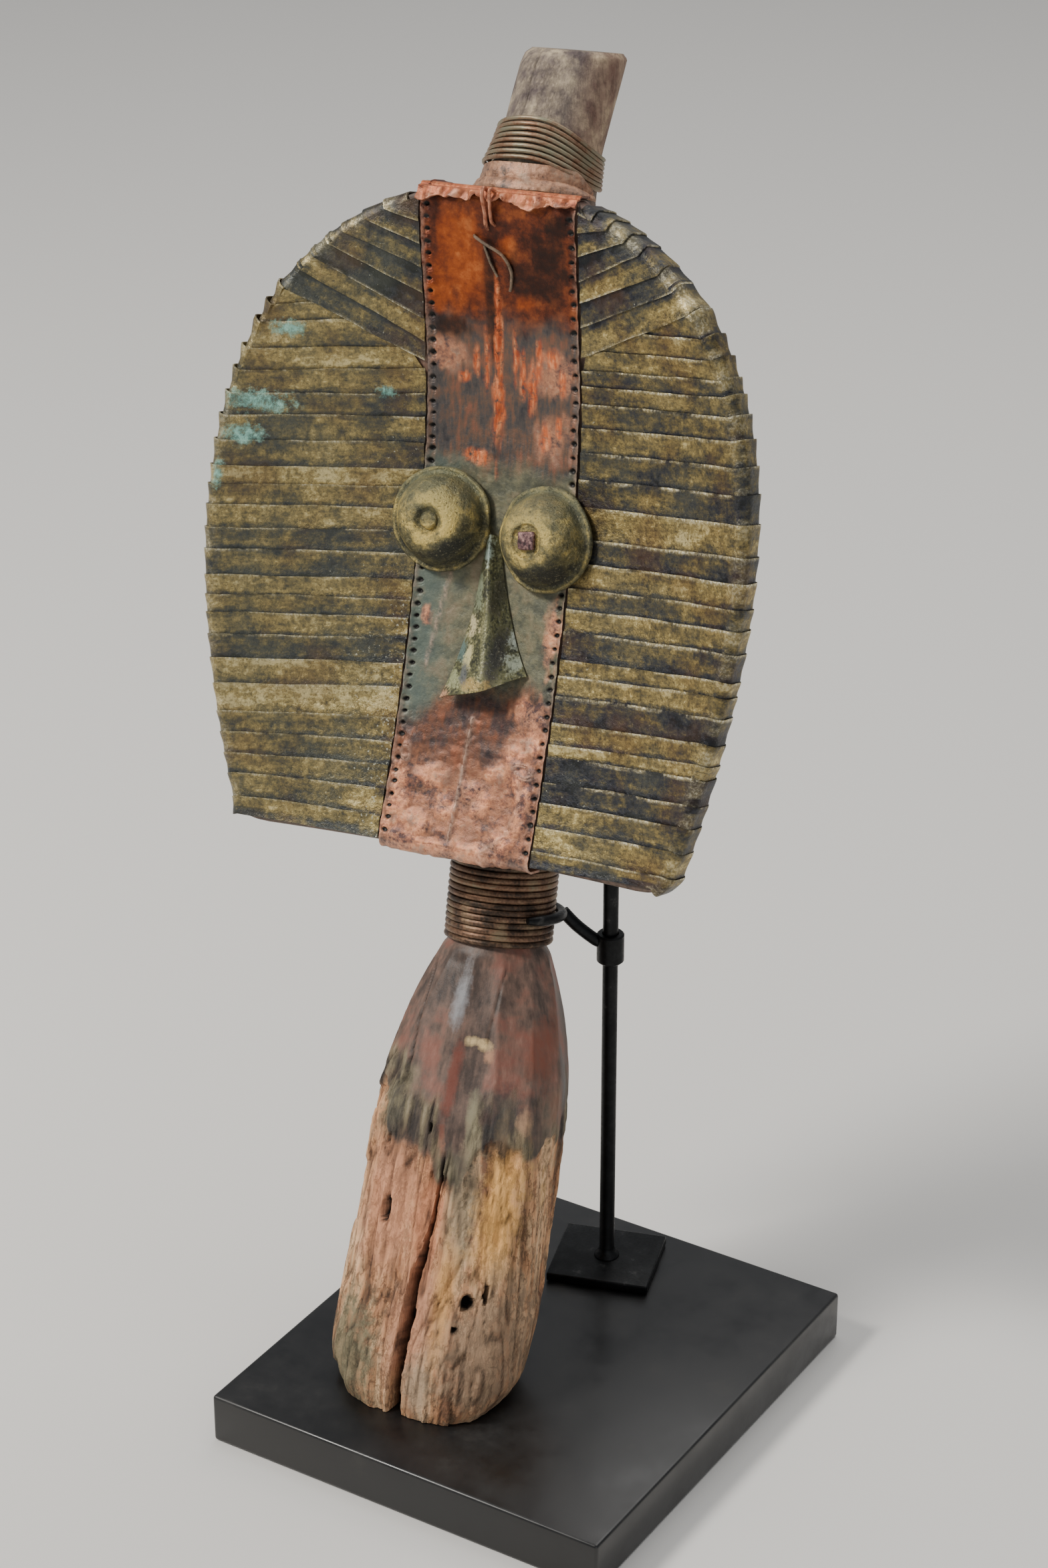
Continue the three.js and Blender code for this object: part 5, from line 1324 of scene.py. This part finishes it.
skin_mix, fibre_mix, dry_mix = (
    node(tree, "Math", {0: grain, 1: share, 2: pattern}, operation="MULTIPLY_ADD")
    for share, pattern in ((0.5, clouds), (0.45, band), (0.25, blotch)))
skin, fibre, smoke, weathered = (
    node(tree, "ValToRGB", {"Fac": pattern}, stops=stops) for pattern, *stops in (
        (skin_mix, (0.5, "#2b221f"), (0.64, "#483931"), (0.76, "#655045"), (0.88, "#806254"),
         (1.0, "#a08474")),
        (fibre_mix, (0.56, "#7c5840"), (0.65, "#bd875f"), (0.74, "#e2ab7c"), (0.84, "#f8cc9e")),
        (fibre_mix, (0.56, "#312f2d"), (0.66, "#544e43"), (0.76, "#80775d"), (0.86, "#a2977c")),
        (dry_mix, (0.48, "#5a4e4c"), (0.56, "#73675e"), (0.64, "#8b7d6e"), (0.72, "#a59580"),
         (0.8, "#c1af92"))))
on_figure = node(tree, "SeparateXYZ", {"Vector": place})
stem_only = node(tree, "MapRange", {"Value": on_figure.outputs["Z"], "From Min": -0.15,
                                    "From Max": -0.17, "To Min": 0.3})
red = node(tree, "MapRange", {"Value": clouds, "From Min": 0.52, "From Max": 0.66})
red = node(tree, "Math", {0: red, 1: stem_only}, operation="MULTIPLY")
skin = stained(tree, skin, (red, 0, 1, 0.6, "#7c3d2e"))
crevice = node(tree, "Math", {0: crevice, 1: 0.5}, operation="SUBTRACT")
crevice = node(tree, "Math", {0: crevice}, operation="ABSOLUTE")
crevice = node(tree, "MapRange", {"Value": crevice, "From Min": 0.028, "From Max": 0.0, "To Max": 0.6})
fibre = stained(tree, fibre, (flakes, 0.5, 0.58, 0.42, "#94866c"), (flakes, 0.44, 0.36, 0.3, "#e0a47c"),
                (crevice, 0, 1, 1, "#5c3f2e"))
weathered = stained(tree, weathered, (on_figure.outputs["X"], 0.011, 0.019, 0.3, "#a8724e"))
print("grain is", round(1 / 0.08), "times as long as it is wide")

# %% Wood's stains and its shine
# One grey patch, at -1 and -189 mm on the upper stem, is a painted highlight on an adze facet; the others
# are stains.
WOOD_STAINS_AND_HIGHLIGHT = ((-9, 182, 9, 4.4, "#d3b79a"), (17, -273, 9, 30, "#b39f80"), (29, -270, 9, 36, "#fcbc68"),
               (14, -312, 5, 30, "#e6ad6c"), (-17, -276, 17, 36, "#e3a07a"), (2, -285, 8, 44, "#d68d66"),
               (1, -322, 12, 30, "#cb9272"), (-25, -342, 16, 30, "#7f7a5f"), (32, -330, 20, 36, "#a98c70"),
               (8, -347, 7, 14, "#bda386"), (-3, -244, 8, 12, "#47281f"), (27, -238, 11, 15, "#23262c"),
               (9, -258, 9, 9, "#2c2825"), (-1, -189, 4, 15, "#8f9093"), (8, -207, 4, 2.4, "#dcc08c"),
               (13, -208, 4, 3, "#e6c68e"), (15.5, -212, 3, 4, "#b98a6a"), (3, -225, 3, 20, "#733a2b"),
               (33, -203, 5, 26, "#7d4632"), (15, -236, 4, 12, "#8a8468"), (-22, -240, 9, 14, "#6e6a54"),
               (33, -236, 3, 9, "#c59a76"))
ragged = node(tree, "Math", {0: flakes, 1: 1.45, 2: fibre_mix}, operation="MULTIPLY_ADD")
colour = stained(tree, skin, (bare, 0, 1, 1, fibre))
colour = spotted(tree, colour, place, WOOD_STAINS_AND_HIGHLIGHT, ragged, 1.1, (-0.45, -1.05), y=-30, depth=12)
# Pits, splits, holes and fibre furrows are painted nearly black, as painted shade.
colour = stained(tree, colour, (soot, 0, 1, 0.75, smoke), (dry, 0, 1, 1, weathered),
                 (pit_and_shade, 0, 1, 1, "#140d09"))
open_wood = node(tree, "Math", {0: bare, 1: soot}, operation="MAXIMUM")
open_wood = node(tree, "Math", {0: open_wood, 1: dry}, operation="MAXIMUM")
rough = node(tree, "MapRange", {"Value": skin_mix, "From Min": 0.5, "From Max": 1.0, "To Min": 0.4,
                                "To Max": 0.62})
rough = node(tree, "Mix", {"Factor": open_wood, "A": rough, "B": 0.82}, data_type="FLOAT")
relief = grain
for pattern, weight in ((grain_fine, 0.5), (flakes, 2.2), (crevice, -0.8)):
    relief = node(tree, "Math", {0: pattern, 1: weight, 2: relief}, operation="MULTIPLY_ADD")
strength = node(tree, "MapRange", {"Value": open_wood, "To Min": 0.12, "To Max": 0.7})
finish(wood, {"Base Color": colour, "Roughness": rough, "IOR": 1.5}, relief, strength, 0.9)

# %% Pole mesh
POLE_TOP, POLE_FOOT, FOOT_PLANE = 187.0, -400.0, BASE_THICK + 0.3
KNOT_START = 128
pole_rows = spread((POLE_FOOT, 0), (NECK_BOTTOM - 2, 1.25), (-128, 3), (131, 10), (176, 1.4),
                   (POLE_TOP, 0.8))
# The columns of the grid follow the split down the stem and stand closest together beside it
offsets = spread((0, 0), (0.16, 0.008), (2 * math.pi - 0.16, 0.026), (2 * math.pi - 0.008, 0.008))
rings, values = [], []
for z in pole_rows:
    section = pole_section(z)
    _, wide, deep, _, square = section
    path = split_line(z)[0]
    split_angle = -math.acos(max(-1, min(1, math.copysign(abs(path / wide) ** (square / 2), path))))
    ring, row = [], []
    for offset in offsets:
        angle = split_angle + offset
        point = pole_point(angle, z, 0, section)
        depth, marks = 0.0, (0.0, 0.0, 0.0, 0.0)
        if z < NECK_BOTTOM:
            depth, marks = stem_wear(*point, math.sin(angle) < 0)
            facets = adze_facets(angle, z, 12, 0.5 * (wide + deep)) * eased(NECK_BOTTOM - z, 1, 8)
            depth += 1.3 * (1 - marks[0]) * facets
            above = (FIGURE @ point).z / MM - FOOT_PLANE
            depth += 2.6 * (1 - min(1, max(0, above / 8))) ** 2
        elif z > KNOT_START:
            depth, marks = knot_wear(point.x, point.y, z, angle)
        ring.append(pole_point(angle, z, -depth, section))
        row.append(marks)
    rings.append(ring)
    values.append(row)
bm, layers = new_mesh(*WOOD_MARKS)
add_loft(bm, rings, layers, values)
foot = FIGURE.inverted() @ Vector((0, 0, FOOT_PLANE * MM))
down = (TILT.inverted() @ Vector((0, 0, -1))).normalized()
bmesh.ops.bisect_plane(bm, geom=bm.verts[:] + bm.edges[:] + bm.faces[:], dist=1e-5, plane_co=foot,
                       plane_no=down, clear_outer=True)
bmesh.ops.holes_fill(bm, edges=[e for e in bm.edges if e.is_boundary], sides=0)
print("pole faces:", len(bm.faces), "columns:", len(offsets))
make_piece(bm, "wood_pole", wood, ["wood_core"], sharp=60)

# %% Head board mesh
HEAD_ACROSS, SPINE_BLEND = 96, 7.0
EDGE_STEPS = ((0.0, 2.4), (0.5, 1.2), (1.4, 0.3))


def with_spine(x, z):
    """The board's back where the pole runs down it as a rounded spine."""
    flat = wood_back(x, z)
    back, wide, deep = pole_section(z)[:3]
    spine = back + deep * math.sqrt(max(0, 1 - (x / wide) ** 2)) if abs(x) < wide else flat - 30
    share = min(1, max(0, 0.5 + 0.5 * (spine - flat) / SPINE_BLEND))
    return flat + (spine - flat) * share + SPINE_BLEND * share * (1 - share)


def head_ring(z, inset):
    """One level of the board: its front from left to right, then its back."""
    reach = half_width(z) - inset
    ring = []
    for k in range(2 * HEAD_ACROSS):
        x = -reach * math.cos(math.pi * k / HEAD_ACROSS)
        over = max(0, (abs(x) - reach + RIM_ROUND) / RIM_ROUND)
        sunk = inset + RIM_ROUND * (1 - math.sqrt(max(0, 1 - over ** 2)))
        chips = (0.5 * wobble(17, x, z, 3) + 0.22 * wobble(6, x, z / 2, 4)) * (1 - min(1, inset))
        y = wood_front(x, z) + sunk if k < HEAD_ACROSS else with_spine(x, z) - sunk + chips
        ring.append(Vector((x, y, z)))
    return ring


levels = [(HEAD_BOTTOM + step, inset) for step, inset in EDGE_STEPS]
levels += [(z, 0.0) for z in spread((HEAD_BOTTOM + 2.6, 0), (HEAD_TOP - 2.6, 2.2))]
levels += [(HEAD_TOP - step, inset) for step, inset in EDGE_STEPS[::-1]]
bm, layers = new_mesh(*WOOD_MARKS)
add_loft(bm, [head_ring(*level) for level in levels], layers,
         [[(0.0, 0.12, 0.0, 0.0)] * (2 * HEAD_ACROSS) for _ in levels])
print("head board faces:", len(bm.faces))
make_piece(bm, "wood_head_board", wood, ["wood_core"], sharp=50)

# %% [markdown]
# ## The copper bindings
# Both necks are wound with copper wire as thick as a match. A helix of true circles would look
# machine-made, so the path is laid on the pole's own sections and each turn strays a little. At the
# topknot the turns crowd down towards one side, over a flat strip that holds the lip.

# %% Wire material
# Each turn has a brown tone of its own under a grey-green film. Its grain is drawn coarser than it is.
wire_metal, tree = new_material("drawn_copper_wire_brown_patina")
place = figure_space(tree)
turns_tone = node(tree, "Attribute", attribute_name="turn").outputs["Fac"]
clouds = node(tree, "TexNoise", {"Vector": place, "Scale": 1 / (8 * MM), "Detail": 4.0})
grains = node(tree, "TexNoise", {"Vector": place, "Scale": 1 / (1.0 * MM), "Detail": 3.0})
shade = node(tree, "Math", {0: turns_tone, 1: 0.5, 2: clouds}, operation="MULTIPLY_ADD")
shade = node(tree, "Math", {0: grains, 1: 0.5, 2: shade}, operation="MULTIPLY_ADD")
shade = node(tree, "Math", {0: shade, 1: 0.55}, operation="MULTIPLY")
colour = node(tree, "ValToRGB", {"Fac": shade}, stops=[
    (0.36, "#231d18"), (0.46, "#43352a"), (0.54, "#634a39"), (0.64, "#86664f"), (0.76, "#8f7f68"),
    (0.88, "#8e8a76"), (1.0, "#c4ab92")])
colour = stained(tree, colour, (clouds, 0.5, 0.7, 0.4, "#6f7058"))
finish(wire_metal, {"Base Color": colour, "Metallic": 0.6, "Roughness": 0.48}, grains, 0.4, 0.2)

# %% Wind the wires
BINDING_GAP, TURN_STEPS, WIRE_SIDES = 0.45, 40, 9


def wound(name, node_name, turns, thick, low, high, start, tone=0.5, flare=0.0):
    """A wire wound round the pole; low and high give the winding's ends for each angle."""
    path, tones = [], []
    for k in range(int(turns * TURN_STEPS) + 1):
        angle = start + 2 * math.pi * k / TURN_STEPS
        share = k / (turns * TURN_STEPS)
        z = low(angle) + (high(angle) - low(angle)) * share + 0.22 * wobble(2.3, 0.5 * angle, 7)
        grow = BINDING_GAP + thick / 2 + 0.16 * abs(wobble(1.1, 0.7 * angle, 3))
        swell = (1 - share) ** 2 * (0.5 - 0.5 * math.cos(angle))
        grow += flare * (swell - 0.6 * max(0.0, math.cos(angle)) ** 2)
        path.append(pole_point(angle, z, grow))
        stray = 0.5 * wobble(1.3, round(k / TURN_STEPS - 0.5), 5) + 0.2 * wobble(0.7, angle, 9)
        tones.append(tone + stray)
    bm, turn_marks = new_mesh("turn")
    add_loft(bm, bar_rings(path, thick / 2, WIRE_SIDES), turn_marks,
             [[(tone,)] * WIRE_SIDES for tone in tones])
    make_piece(bm, name, wire_metal, [node_name])
    print(name, "has", turns, "turns")


def knot_drop(angle, front, side):
    """A height that is front all round but falls to side at the right of the topknot."""
    toward = max(0.0, math.cos(angle)) ** 2.2
    return front + (side - front) * toward


wound("copper_neck_binding", "neck_wire", 14, 2.6, lambda a: -169.6, lambda a: -132.6, math.radians(200))
wound("copper_knot_binding", "topknot_wire", 8, 1.8, lambda a: knot_drop(a, 138.6, 133.2),
      lambda a: knot_drop(a, 153.4, 147.6), math.radians(90), tone=1.15, flare=1.3)

# %% Flat band under the knot's wire
BAND_COLUMNS, BAND_ROWS, BAND_TAPER, BAND_SHEET = 110, 10, 14, 0.9
BAND_FROM, BAND_SWEEP, BAND_LOW, BAND_TALL = -215, 205, 130.2, 7.8
bm, plate_layers = new_mesh(*PLATE_MARKS)
grid = flat_grid(bm, BAND_COLUMNS + 1, BAND_ROWS + 1)
for k, vert in enumerate(grid):
    row, column = divmod(k, BAND_COLUMNS + 1)
    angle = math.radians(BAND_FROM + BAND_SWEEP * column / BAND_COLUMNS)
    taper = eased(column, BAND_COLUMNS, BAND_COLUMNS - BAND_TAPER)
    up = row / BAND_ROWS
    z = BAND_LOW + BAND_TALL * up * (0.45 + 0.55 * taper) + 0.4 * wobble(0.6, angle, 2)
    crease = bell(up - 0.42, 0.09)
    grow = 1.8 + 1.8 * (1 - up) ** 2 - 0.9 * crease
    grow += 0.4 * wobble(0.3, angle, up) + 0.3 * wobble(0.08, angle, up)
    vert.co = pole_point(angle, z, grow)
    # The crease is painted dark, a painted shade in its fold.
    set_marks(vert, plate_layers, (0.0, 0.2, 0.0, 0.0, 0.6 * crease, 0.0, 0.6, 0.45))
into_sheet(bm, grid, BAND_SHEET, sample=BAND_COLUMNS // 2)
make_piece(bm, "copper_knot_band", copper, ["topknot_wire"])
print("the band goes", BAND_SWEEP, "degrees round the topknot")

# %% [markdown]
# ## The display stand
# A black lacquered block, a small steel plate and a rod with a cradle hold the figure at its neck.
# They are new and plain, and should stay quiet: the block gets softened edges that catch a thin
# line of light, and the steel a blackened satin finish.

# %% Black lacquer
# A deep black under a thin clear coat, with a cloudy film of dust. Its grain is drawn coarser than it is.
lacquer, tree = new_material("black_lacquered_wood")
place = node(tree, "TexCoord").outputs["Object"]
dust = node(tree, "TexNoise", {"Vector": place, "Scale": 1 / (24 * MM), "Detail": 6.0, "Roughness": 0.65})
fine = node(tree, "TexNoise", {"Vector": place, "Scale": 1 / (1.4 * MM), "Detail": 2.0})
colour = node(tree, "ValToRGB", {"Fac": dust}, stops=[
    (0.4, "#0b0b0c"), (0.6, "#151515"), (0.75, "#262523")])
matt = node(tree, "MapRange", {"Value": dust, "From Min": 0.35, "From Max": 0.7, "To Min": 0.28,
                               "To Max": 0.5})
finish(lacquer, {"Base Color": colour, "Roughness": matt, "IOR": 1.5, "Coat Weight": 0.25,
                 "Coat Roughness": 0.2}, fine, 0.12, 0.1)

# %% Blackened steel
# A satin black metal, a little paler where it is rubbed. Its grain is drawn coarser than it is.
steel, tree = new_material("blackened_steel_satin")
place = node(tree, "TexCoord").outputs["Object"]
fine = node(tree, "TexNoise", {"Vector": place, "Scale": 1 / (1.2 * MM), "Detail": 3.0})
rubs = node(tree, "TexNoise", {"Vector": place, "Scale": 1 / (9 * MM), "Detail": 6.0, "Roughness": 0.7})
colour = node(tree, "ValToRGB", {"Fac": rubs}, stops=[
    (0.45, "#101112"), (0.62, "#1d1e1f"), (0.75, "#4a4947")])
matt = node(tree, "MapRange", {"Value": fine, "From Min": 0.3, "From Max": 0.7, "To Min": 0.34,
                               "To Max": 0.52})
finish(steel, {"Base Color": colour, "Metallic": 0.7, "Roughness": matt}, fine, 0.2, 0.1)

# %% Block, plate and rod
BASE_HALF = (91.5, 100)
ROD_X, ROD_Y, ROD_RADIUS, ROD_LOW, ROD_TOP = -4.0, 67.0, 3.2, 26.6, 238
FOOT_HALF, FOOT_LOW, FOOT_THICK, FOOT_TURN = (22, 20), BASE_THICK + 0.3, 4, 18
ROD_PROFILE = ((0, ROD_LOW), (ROD_RADIUS + 2.2, ROD_LOW), (ROD_RADIUS + 1.9, 27.5),
               (ROD_RADIUS + 0.8, 28.5), (ROD_RADIUS, 30.4), (ROD_RADIUS, 100), (ROD_RADIUS, 170),
               (ROD_RADIUS, ROD_TOP - 1.4), (ROD_RADIUS - 0.4, ROD_TOP - 0.5),
               (ROD_RADIUS - 1.4, ROD_TOP), (0, ROD_TOP))


def edged_box(middle, half, low, tall, rounding, segments, turn=0.0):
    """A box with softened edges that stands at height low and is turned about its own middle."""
    bm = bmesh.new()
    bmesh.ops.create_cube(bm, size=1)
    bmesh.ops.scale(bm, vec=(2 * half[0], 2 * half[1], tall), verts=bm.verts)
    bmesh.ops.bevel(bm, geom=bm.edges[:], offset=rounding, segments=segments, profile=0.5,
                    affect="EDGES", material=-1)
    bmesh.ops.rotate(bm, cent=(0, 0, 0), matrix=Matrix.Rotation(math.radians(turn), 3, "Z"), verts=bm.verts)
    bmesh.ops.translate(bm, vec=(*middle, low + tall / 2), verts=bm.verts)
    return bm


make_piece(edged_box((0, 0), BASE_HALF, 0, BASE_THICK, 1.5, 4), "stand_block", lacquer,
           ["stand_base"], STAND)
make_piece(edged_box((ROD_X, ROD_Y), FOOT_HALF, FOOT_LOW, FOOT_THICK, 0.8, 3, FOOT_TURN), "stand_plate",
           steel, ["stand_foot_plate"], STAND)
bm = bmesh.new()
spun(bm, ROD_PROFILE, 40)
bmesh.ops.translate(bm, vec=(ROD_X, ROD_Y, 0), verts=bm.verts)
make_piece(bm, "stand_upright", steel, ["stand_rod"], STAND)
print("rod:", ROD_TOP - ROD_LOW, "mm tall")

# %% Cradle
RING_HEIGHT, SLEEVE_HEIGHT = NECK_BOTTOM + 14, 178
BAR_RADIUS, ARM_RADIUS, BAR_SIDES = 2.25, 2.6, 14
WIRE_COVER, AIR = 2.5, 0.3
RING_REACH = NECK_RADIUS + BINDING_GAP + WIRE_COVER + AIR + BAR_RADIUS
ARC_HALF_ANGLE, ARC_STEPS = 75, 48
SLEEVE = ((3.5, -6.5), (5.1, -6.5), (5.7, -5.9), (5.7, 5.9), (5.1, 6.5), (3.5, 6.5), (3.5, -6.5))


def arc_radius(k):
    """The bar's radius at a point of the arc, smaller at its two ends."""
    from_end = min(1, 8 * min(k, ARC_STEPS - k) / ARC_STEPS + 0.1)
    return BAR_RADIUS * min(1, 0.55 + 0.45 * math.sin(math.pi * from_end / 2))


def on_ring(angle, reach):
    """A place at an angle and a distance from the middle of the neck."""
    return ring_middle + Vector((math.cos(angle), math.sin(angle), 0)) * reach


ring_middle = Vector((0, pole_section(RING_HEIGHT)[0], RING_HEIGHT))
to_stand = TILT.inverted()
rod_foot = to_stand @ (Vector((ROD_X, ROD_Y, SLEEVE_HEIGHT)) - EYE_PLACE)
away = rod_foot - ring_middle
heading = math.atan2(away.y, away.x)
arc = [on_ring(heading + math.radians(ARC_HALF_ANGLE * (2 * k / ARC_STEPS - 1)), RING_REACH)
       for k in range(ARC_STEPS + 1)]
bm = bmesh.new()
add_loft(bm, bar_rings(arc, [arc_radius(k) for k in range(ARC_STEPS + 1)], BAR_SIDES))
start = on_ring(heading, RING_REACH + 1)
out, sag = rod_foot - start, Vector((0, 0, -1.5))
arm = [start, start + out * 0.3 + sag, start + out * 0.7 + sag, rod_foot - out.normalized() * 4.5]
add_loft(bm, bar_rings(smooth_path(arm, 10), ARM_RADIUS, BAR_SIDES))
sleeve = bmesh.new()
spun(sleeve, SLEEVE, 40)
bmesh.ops.transform(sleeve, matrix=to_stand.to_3x3().to_4x4(), verts=sleeve.verts)
bmesh.ops.translate(sleeve, vec=rod_foot, verts=sleeve.verts)
sleeve_mesh = bpy.data.meshes.new("sleeve")
sleeve.to_mesh(sleeve_mesh)
bm.from_mesh(sleeve_mesh)
bpy.data.meshes.remove(sleeve_mesh)
sleeve.free()
make_piece(bm, "stand_cradle", steel, ["stand_neck_cradle"])
print("the cradle's sleeve stands", SLEEVE_HEIGHT, "mm up the rod")

# %% [markdown]
# ## The studio floor
# A plain pale floor, marked as stage so that it isn't part of the object.

# %% Floor
# Matt pale paper, whose tooth is drawn coarser than it is.
paper, tree = new_material("pale_studio_paper")
tooth = node(tree, "TexNoise", {"Vector": node(tree, "TexCoord").outputs["Object"], "Scale": 1 / (3 * MM),
                                "Detail": 2.0})
finish(paper, {"Base Color": "#e2e0dc", "Roughness": 0.85}, tooth, 0.05, 0.1)
FLOOR_HALF = 30
bm = bmesh.new()
bmesh.ops.create_grid(bm, x_segments=1, y_segments=1, size=FLOOR_HALF)
floor_mesh = bpy.data.meshes.new("studio_floor")
bm.to_mesh(floor_mesh)
bm.free()
floor_mesh.materials.append(paper)
floor = bpy.data.objects.new("studio_floor", floor_mesh)
bpy.context.collection.objects.link(floor)
floor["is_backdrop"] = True
print("floor:", 2 * FLOOR_HALF, "m wide")

# %% Sizes
low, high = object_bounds()
print("visual size in metres:", [round(v, 3) for v in high - low])
